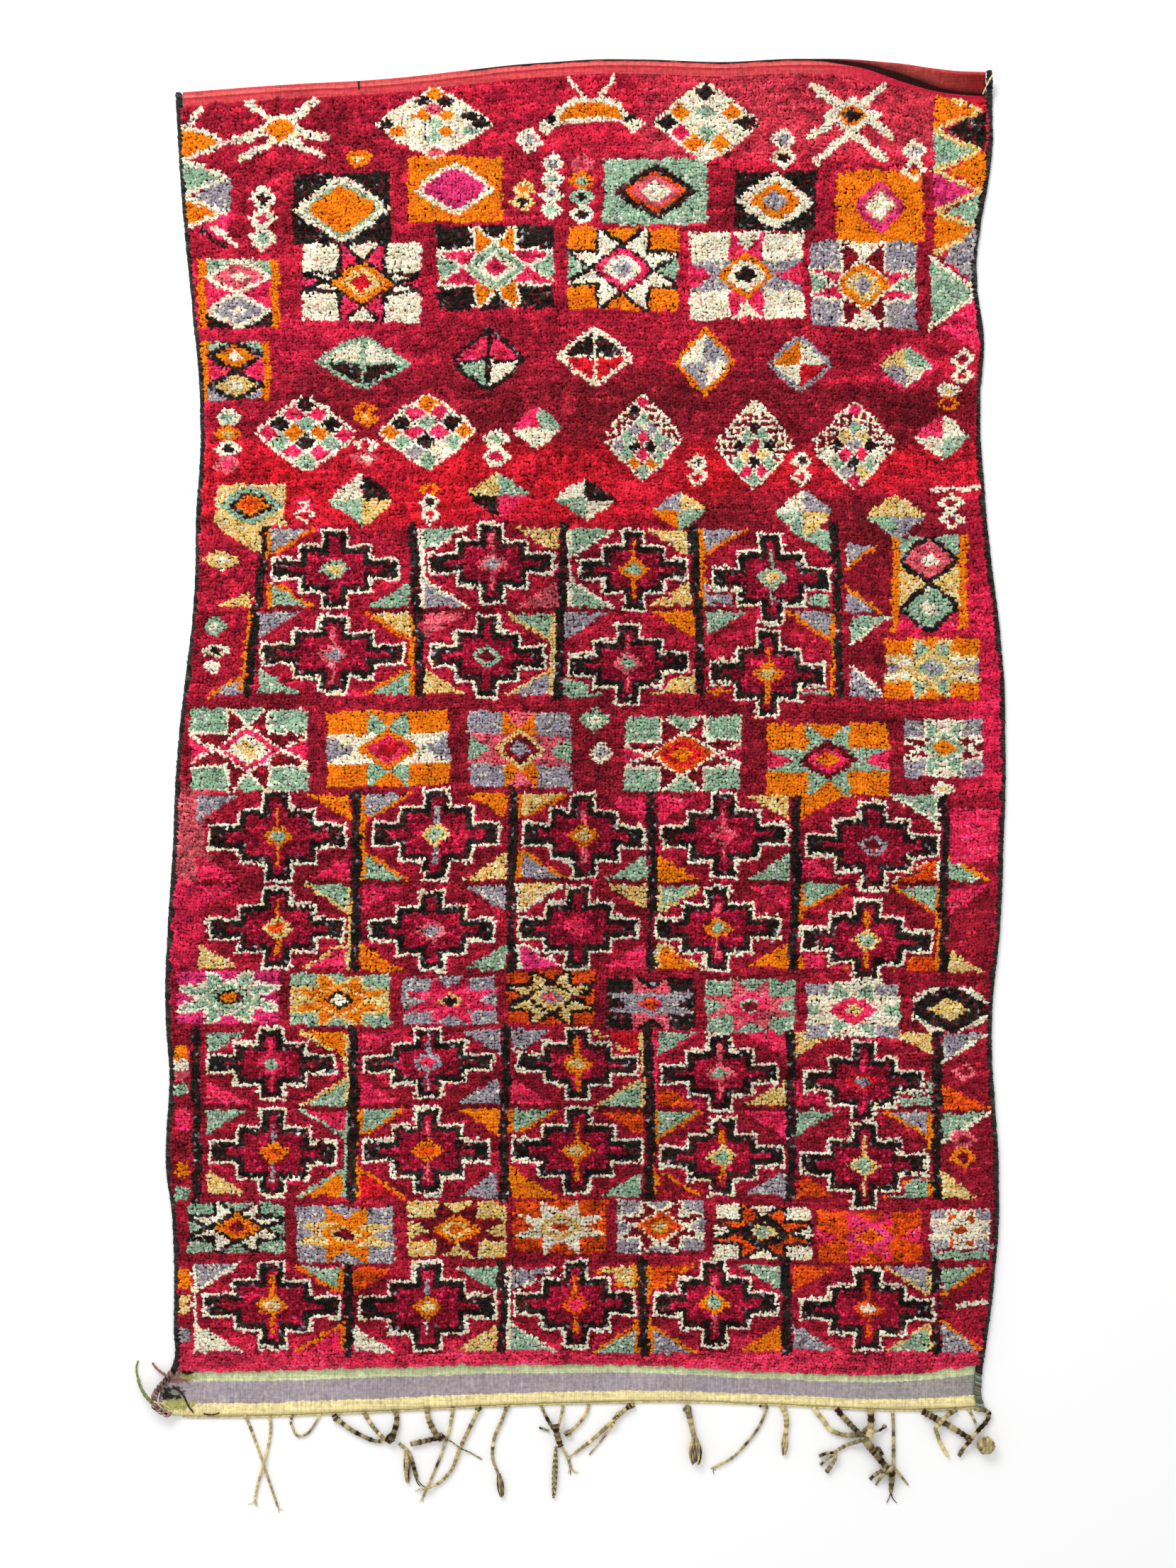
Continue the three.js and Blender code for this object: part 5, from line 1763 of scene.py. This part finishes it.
class RUG_OT_bind_sides(bpy.types.Operator):
    """Overcast the two sides with dark goat hair"""

    bl_idname = "rug.bind_sides"
    bl_label = "Bind sides"

    def execute(self, context):
        self.sizes, self.dyes = context.scene.rug_sizes, context.scene.rug_dyes
        self.chance = np.random.default_rng(self.sizes.seed + BINDING_SEED)
        settings = {
            "Piece": overcast_stitch(),
            "Random turn": STITCH_TURN,
            "Sway": STITCH_SWAY,
            "Size spread": STITCH_SPREAD,
            "Seed": self.sizes.seed + STITCH_SEED,
            "Yarn": yarn_material(GOAT_HAIR),
        }
        sides = (("left", LEFT_EDGE, 1, "brown_binding"), ("right", RIGHT_EDGE, -1, "grey_binding"))
        for side, edge, way, low_dye in sides:
            self.lay_cords(side, edge, way, settings["Yarn"])
            self.overcast(side, edge, way, linear(getattr(self.dyes, low_dye)), settings)
        bpy.data.objects.remove(settings["Piece"])
        return {"FINISHED"}

    def middle(self, edge, way, y):
        """Middle of the binding and the floor's distance under it."""
        x = along(edge, y) + way * BINDING_WIDTH / 2
        return x, lift(x, y)

    def lay_cords(self, side, edge, way, material):
        """The bundle of warps inside a binding."""
        low, high = edge[0][0], edge[-1][0]
        y = np.linspace(low, high, round((high - low) / BINDING_STEP))
        x, base = self.middle(edge, way, y)
        angle = np.arange(BINDING_SIDES) * math.tau / BINDING_SIDES
        width, height = CORD_SIZE[0] * BINDING_WIDTH, CORD_SIZE[1] * self.sizes.binding_height
        rings = [
            x[:, None] + width * np.cos(angle),
            np.repeat(y[:, None], BINDING_SIDES, axis=1),
            base[:, None] + height * (CORD_CENTRE + np.sin(angle)),
        ]
        index = np.arange(len(y) * BINDING_SIDES).reshape(len(y), BINDING_SIDES)
        after = np.roll(index, -1, axis=1)
        walls = np.stack([index[:-1], index[1:], after[1:], after[:-1]], axis=-1).reshape(-1, 4)
        faces = walls.tolist() + [index[0].tolist(), index[-1][::-1].tolist()]
        name = "side_cords_" + side
        mesh = bpy.data.meshes.new(name)
        mesh.from_pydata(np.stack(rings, axis=-1).reshape(-1, 3).tolist(), [], faces)
        mesh.shade_smooth()
        keep(mesh, "tip", "FLOAT", np.full(index.size, CORD_TIP))
        keep(mesh, "dye", "FLOAT_COLOR", np.tile([*linear(self.dyes.binding), 1], (index.size, 1)))
        mesh.materials.append(material)
        settle(add_object(name, mesh), "binding_yarn")

    def overcast(self, side, edge, way, low_dye, settings):
        """The turns of yarn over the bundle."""
        low, high = edge[0][0], edge[-1][0]
        count = round((high - low) / self.sizes.stitch_pitch)
        y = np.linspace(low + STITCH_MARGIN, high - STITCH_MARGIN, count)
        x, base = self.middle(edge, way, y)
        ahead_x, ahead_base = self.middle(edge, way, y + LOOK_AHEAD)
        rise, aside = np.arctan2(ahead_base - base, LOOK_AHEAD), np.arctan2(ahead_x - x, LOOK_AHEAD)
        turn = np.stack([rise, np.zeros(count), -aside], axis=-1)
        size = [BINDING_WIDTH, self.sizes.stitch_pitch * STITCH_FULLNESS, self.sizes.binding_height]
        shade = np.exp(self.chance.normal(0, HAIR_SPREAD, (count, 1)))
        colour = np.where((y < DARK_ABOVE)[:, None], low_dye, linear(self.dyes.binding))
        colour = colour * shade * (1 + self.chance.normal(0, HAIR_TINT, (count, 3)))
        colour = np.clip(colour, DARKEST_HAIR, 1)
        places = np.stack([x, y, base], axis=-1)
        sewn = plant("binding_" + side, places, turn, np.tile(size, (count, 1)), colour, settings)
        settle(sewn, "binding_yarn", "selvedge_" + side)


# Warp ends: steps and sizes in metres, their twisted section, how they climb over each other and their tones
FRINGE_SEED = 40
STRAND_STEP = 0.0024
MILLIMETRE = 0.001
FEWEST_POINTS = 8
LOOSE_POINTS = 24
YARN_SECTION = {"Flatness": 0.74, "Sides": 8}
LUMPS = (0.05, 0.1)
LUMP_ROOM = 1.12
YARN_FULLNESS = 1.12
MOST_CLIMB = 0.009
HUMP_SLOPE = 0.45
STAIN = {"depth": 0.22, "points": 3}
PLY = {"depth": 0.09, "points": 2}
CORD_START = -0.730
CORD_RADIUS = 0.0022
CORD_TONE = 0.5
FIBRES = {"split": 2, "frayed": 4}
FIBRE = {"points": 7, "thickness": 0.36, "fan": 0.32, "stray": 0.08, "length": (4.0, 6.5), "bend": 0.5}
TAPER = 0.4
WRAP = {"turns": 4, "points": 10, "yarn": 0.17, "height": 0.75, "slide": 0.8, "swings": 1.5}
WRAP_SLOPE = (0.5, 1.1)
BUD = {"fibres": 11, "points": 10, "yarn": 0.30, "most_yarn": 0.003, "height": 0.7, "twist": 0.5}
BUD_SWELL = (0.08, 0.74)
BUD_REACH = (0.85, 1.0)
BUD_SPREAD = 0.2
WINDING = {"turns": 7, "points": 14, "yarn": 0.26, "height": 0.7, "start": 0.04, "end": 0.96}
THREAD_TAPER = 0.65
THREAD_SPREAD = 0.18
THREAD_REST = 0.35
UP = np.array([0.0, 0.0, 1.0])


def on_floor(x, y, height):
    """A place given in millimetres, at a height in metres."""
    return np.array([x * MILLIMETRE, y * MILLIMETRE, height])


def smooth_line(places, count):
    """Points in metres along a smooth line through a few places in millimetres."""
    marks = np.linspace(0, 1, len(places))
    steps = np.linspace(0, 1, count)
    columns = [along(list(zip(marks, values)), steps) for values in np.array(places).T * MILLIMETRE]
    return np.stack(columns, axis=-1)


class YarnBasket:
    """Collects lines of yarn with their thickness and dye."""

    def __init__(self):
        self.points = []
        self.edges = []
        self.thickness = []
        self.dyes = []

    def lay(self, points, thickness, colours):
        """Adds one line of yarn."""
        first = len(self.points)
        count = len(points)
        self.points.extend(np.asarray(points).tolist())
        self.edges.extend((first + index, first + index + 1) for index in range(count - 1))
        self.thickness.extend(np.broadcast_to(thickness, (count,)).tolist())
        self.dyes.extend(np.broadcast_to(colours, (count, 3)).tolist())

    def height_over(self, line, rest):
        """Heights that let a line on the floor pass over the yarns already laid, in low humps."""
        if not self.points:
            return rest
        below = np.array(self.points)
        gap = np.linalg.norm(line[:, None] - below[:, :2], axis=-1)
        reach = rest[:, None] + np.array(self.thickness)
        over = below[:, 2] + np.sqrt(np.maximum(reach**2 - gap**2, 0))
        need = np.where(gap < reach, over, 0).max(axis=1)
        need = np.minimum(need, rest + MOST_CLIMB)
        apart = np.linalg.norm(line[:, None] - line, axis=-1)
        return np.maximum(rest, (need - HUMP_SLOPE * apart).max(axis=1))

    def mesh(self, name):
        """The lines as one mesh of edges."""
        mesh = bpy.data.meshes.new(name)
        mesh.from_pydata(self.points, self.edges, [])
        keep(mesh, "thickness", "FLOAT", self.thickness)
        keep(mesh, "dye", "FLOAT_COLOR", dye_attribute(np.array(self.dyes)))
        keep(mesh, "tip", "FLOAT", np.ones(len(self.points)))
        return mesh


class RUG_OT_tie_fringe(bpy.types.Operator):
    """Twist and knot the warp ends along the bottom edge"""

    bl_idname = "rug.tie_fringe"
    bl_label = "Tie fringe"

    def execute(self, context):
        sizes, dyes = context.scene.rug_sizes, context.scene.rug_dyes
        self.chance = np.random.default_rng(sizes.seed + FRINGE_SEED)
        self.pale, self.dark = linear(dyes.warp), linear(dyes.dark_warp)
        material = yarn_material(WARP_YARN)
        fringe = YarnBasket()
        for yarn in YARNS:
            self.lay_yarn(fringe, yarn)
        self.lay_end_cord(fringe, linear(dyes.kilim_yellow))
        for knot in KNOTS:
            self.tie_knot(fringe, knot)
        for bud in BUDS:
            self.bind_bud(fringe, bud)
        self.wind_ball(fringe, BALL)
        self.twist("fringe_yarns", fringe, sizes, material, "warp_yarn", "warp_fringe")
        ends = YarnBasket()
        for end in LOOSE_ENDS:
            self.lay_thread(ends, smooth_line(end.places, LOOSE_POINTS), end.width, getattr(dyes, end.dye))
        for thread in THREADS:
            line = smooth_line(thread.places, LOOSE_POINTS)
            x, y = line.T
            on_left = x - along(LEFT_EDGE, y) < BINDING_WIDTH
            on_right = along(RIGHT_EDGE, y) - x < BINDING_WIDTH
            under = np.where(on_left | on_right, sizes.binding_height, sizes.flat_weave)
            line = np.column_stack([line, lift(x, y) + under + thread.width * MILLIMETRE * THREAD_REST])
            self.lay_thread(ends, line, thread.width, getattr(dyes, thread.dye))
        self.twist("loose_binding_ends", ends, sizes, material, "binding_yarn")
        return {"FINISHED"}

    def twist(self, name, basket, sizes, material, slot, *nodes):
        """Twists the lines of a basket into yarn."""
        settings = {"Twist": sizes.yarn_twist, **YARN_SECTION, "Yarn": material}
        tree = tree_named("Twist yarn", twisting_tree)
        settle(grow(name, basket.mesh(name), tree, settings), slot, *nodes)

    def mottled(self, count, tone, end_tone=None):
        """Colours along an undyed yarn, more or less dark."""
        tones = np.linspace(tone, tone if end_tone is None else end_tone, count)
        stains = self.chance.normal(0, 1, count // STAIN["points"] + 1)
        stain = STAIN["depth"] * np.repeat(stains, STAIN["points"])[:count]
        plies = PLY["depth"] * (1 - 2 * (np.arange(count) // PLY["points"] % 2))
        share = np.clip(tones + stain + plies, 0, 1)[:, None]
        return self.pale + (self.dark - self.pale) * share

    def lay_end_cord(self, basket, colour):
        """The twisted cord that closes the bottom edge."""
        end = RIGHT_EDGE[0][1] - BINDING_WIDTH
        x = np.linspace(CORD_START, end, round((end - CORD_START) / STRAND_STEP))
        y = along(BOTTOM_EDGE, x) - PIECE_GAP - CORD_RADIUS
        line = np.stack([x, y, np.full(len(x), CORD_RADIUS)], axis=-1)
        basket.lay(line, CORD_RADIUS, (colour + self.mottled(len(x), CORD_TONE)) / 2)

    def lay_yarn(self, basket, yarn):
        """One warp end, lying on the floor."""
        length = np.linalg.norm(np.diff(yarn.places, axis=0), axis=1).sum() * MILLIMETRE
        count = max(round(length / STRAND_STEP), FEWEST_POINTS)
        line = smooth_line(yarn.places, count)
        smooth = np.linspace(yarn.width, yarn.end_width, count) * MILLIMETRE / 2 * YARN_FULLNESS
        radius = smooth * (1 + np.clip(self.chance.normal(0, LUMPS[0], count), -LUMPS[1], LUMPS[1]))
        line = np.column_stack([line, basket.height_over(line, smooth * LUMP_ROOM)])
        basket.lay(line, radius, self.mottled(count, yarn.tone, yarn.end_tone))
        if yarn.finish:
            self.lay_fibres(basket, line, radius[-1], yarn.end_tone, FIBRES[yarn.finish])

    def lay_fibres(self, basket, line, thickness, tone, count):
        """Loose plies at the end of a warp."""
        way = line[-1] - line[-4]
        root = line[-2]
        radius = thickness * FIBRE["thickness"]
        t = np.linspace(0, 1, FIBRE["points"])
        for index in range(count):
            angle = math.atan2(way[1], way[0]) + (index - (count - 1) / 2) * FIBRE["fan"]
            angle += self.chance.normal(0, FIBRE["stray"])
            reach = thickness * self.chance.uniform(*FIBRE["length"]) * t
            bend = angle + FIBRE["bend"] * (t - 0.5) * self.chance.normal(0, 1)
            height = root[2] + (radius - root[2]) * t
            ply = np.stack([root[0] + reach * np.cos(bend), root[1] + reach * np.sin(bend), height], axis=-1)
            basket.lay(ply, radius * (1 - TAPER * t), self.mottled(len(t), tone))

    def tie_knot(self, basket, knot):
        """Turns of yarn that cross each other round a warp end."""
        width = knot.width * MILLIMETRE
        yarn = width * WRAP["yarn"]
        reach = width / 2 - yarn
        t = np.linspace(0, 1, WRAP["turns"] * WRAP["points"])[:, None]
        angle = t * math.tau * WRAP["turns"]
        slope = self.chance.uniform(*WRAP_SLOPE)
        across = np.array([math.cos(slope), math.sin(slope), 0.0])
        way = np.array([-math.sin(slope), math.cos(slope), 0.0])
        slide = WRAP["slide"] * np.sin(t * math.tau * WRAP["swings"])
        turns = across * np.cos(angle) + WRAP["height"] * UP * np.sin(angle) + way * slide
        points = on_floor(knot.x, knot.y, WRAP["height"] * reach + yarn) + reach * turns
        basket.lay(points, yarn, self.mottled(len(points), knot.tone))

    def bind_bud(self, basket, bud):
        """A small tassel whose fibres swell and close again."""
        start, end = on_floor(*bud.start, 0.0), on_floor(*bud.end, 0.0)
        way = (end - start) / np.linalg.norm(end - start)
        across = np.cross(UP, way)
        swell = bud.width * MILLIMETRE / 2
        yarn = min(swell * BUD["yarn"], BUD["most_yarn"])
        t = np.linspace(0, 1, BUD["points"])[:, None]
        bulge = (swell - yarn) * np.sin(math.pi * (BUD_SWELL[0] + BUD_SWELL[1] * t))
        centre = start + UP * (BUD["height"] * (swell - yarn) + yarn)
        for index in range(BUD["fibres"]):
            angle = math.tau * index / BUD["fibres"] + BUD["twist"] * t
            points = centre + (end - start) * t * self.chance.uniform(*BUD_REACH)
            points = points + bulge * (across * np.cos(angle) + BUD["height"] * UP * np.sin(angle))
            tone = bud.tone + self.chance.normal(0, BUD_SPREAD)
            basket.lay(points, yarn * (1 - TAPER * t[:, 0]), self.mottled(len(t), tone))

    def wind_ball(self, basket, ball):
        """A warp end that is wound up into a ball."""
        radius = ball.width * MILLIMETRE / 2
        yarn = radius * WINDING["yarn"]
        t = np.linspace(WINDING["start"], WINDING["end"], WINDING["turns"] * WINDING["points"])
        turn, dip = t * math.tau * WINDING["turns"], t * math.pi
        side = np.sin(dip)
        rise = WINDING["height"] * side * np.sin(turn)
        points = np.stack([np.cos(dip), side * np.cos(turn), rise], axis=-1) * (radius - yarn)
        points += on_floor(ball.x, ball.y, WINDING["height"] * (radius - yarn) + yarn)
        basket.lay(points, yarn, self.mottled(len(points), ball.tone))

    def lay_thread(self, basket, line, width, dye):
        """A dyed thread, thinner towards its end."""
        count = len(line)
        radius = width * MILLIMETRE / 2 * np.linspace(1, THREAD_TAPER, count)
        line = np.column_stack([line[:, :2], np.maximum(line[:, 2], radius)])
        shade = np.exp(self.chance.normal(0, THREAD_SPREAD, (count, 1)))
        basket.lay(line, radius, np.clip(linear(dye) * shade, 0, 1))


# The floor's reach and its distance under the rug, the soft window and the camera's lens
FLOOR_REACH = 14.0
FLOOR_DROP = 0.0004
WINDOW_SIZE = (3.2, 2.2)
WINDOW_PLACE = (-1.6, 2.9, 3.1)
WINDOW_TURN = (math.radians(-43), 0, math.radians(24))
LENS = 50


class RUG_OT_lay_stage(bpy.types.Operator):
    """Lay the floor and set the light and the camera"""

    bl_idname = "rug.lay_stage"
    bl_label = "Lay stage"

    def execute(self, context):
        scene, studio = context.scene, context.scene.rug_studio
        mesh = bpy.data.meshes.new("floor")
        signs = ((-1, -1), (1, -1), (1, 1), (-1, 1))
        corners = [(x * FLOOR_REACH, y * FLOOR_REACH, -FLOOR_DROP) for x, y in signs]
        mesh.from_pydata(corners, [], [(0, 1, 2, 3)])
        material, shader = new_material("pale_floor")
        shader.inputs["Base Color"].default_value = (*linear(studio.floor), 1)
        mesh.materials.append(material)
        add_object("floor", mesh)
        scene.world = bpy.data.worlds.new("even_daylight")
        scene.world.use_nodes = True
        sky = scene.world.node_tree.nodes["Background"]
        sky.inputs["Color"].default_value = (1, 1, 1, 1)
        sky.inputs["Strength"].default_value = studio.daylight
        light = bpy.data.lights.new("soft_window", "AREA")
        light.shape = "RECTANGLE"
        light.size, light.size_y = WINDOW_SIZE
        light.energy = studio.window
        lamp = add_object("soft_window", light)
        lamp.location = WINDOW_PLACE
        lamp.rotation_euler = WINDOW_TURN
        camera = bpy.data.cameras.new("camera")
        camera.lens = LENS
        scene.camera = add_object("camera", camera)
        scene.camera.location = (studio.camera_across, studio.camera_along, studio.camera_height)
        scene.view_settings.view_transform = "Standard"
        return {"FINISHED"}


class RUG_PT_panel(bpy.types.Panel):
    """Sizes, dyes and steps of the rug"""

    bl_idname = "RUG_PT_panel"
    bl_label = "Boujad rug"
    bl_space_type = "VIEW_3D"
    bl_region_type = "UI"
    bl_category = "Rug"

    def draw(self, context):
        for settings in (context.scene.rug_sizes, context.scene.rug_dyes, context.scene.rug_studio):
            box = self.layout.box()
            for name in settings.__annotations__:
                box.prop(settings, name)
        for step in STEPS_IN_ORDER:
            self.layout.operator(step.bl_idname)


STEPS_IN_ORDER = (
    RUG_OT_lay_stage,
    RUG_OT_weave_foundation,
    RUG_OT_knot_pile,
    RUG_OT_bind_sides,
    RUG_OT_tie_fringe,
)
CLASSES = (RugDyes, RugSizes, RugStudio, *STEPS_IN_ORDER, RUG_PT_panel)


def register():
    for each in CLASSES:
        bpy.utils.register_class(each)
    bpy.types.Scene.rug_dyes = PointerProperty(type=RugDyes)
    bpy.types.Scene.rug_sizes = PointerProperty(type=RugSizes)
    bpy.types.Scene.rug_studio = PointerProperty(type=RugStudio)


def unregister():
    del bpy.types.Scene.rug_studio
    del bpy.types.Scene.rug_sizes
    del bpy.types.Scene.rug_dyes
    for each in reversed(CLASSES):
        bpy.utils.unregister_class(each)


def main():
    register()
    bpy.ops.rug.lay_stage()
    bpy.ops.rug.weave_foundation()
    bpy.ops.rug.knot_pile()
    bpy.ops.rug.bind_sides()
    bpy.ops.rug.tie_fringe()


if __name__ == "__main__":
    main()
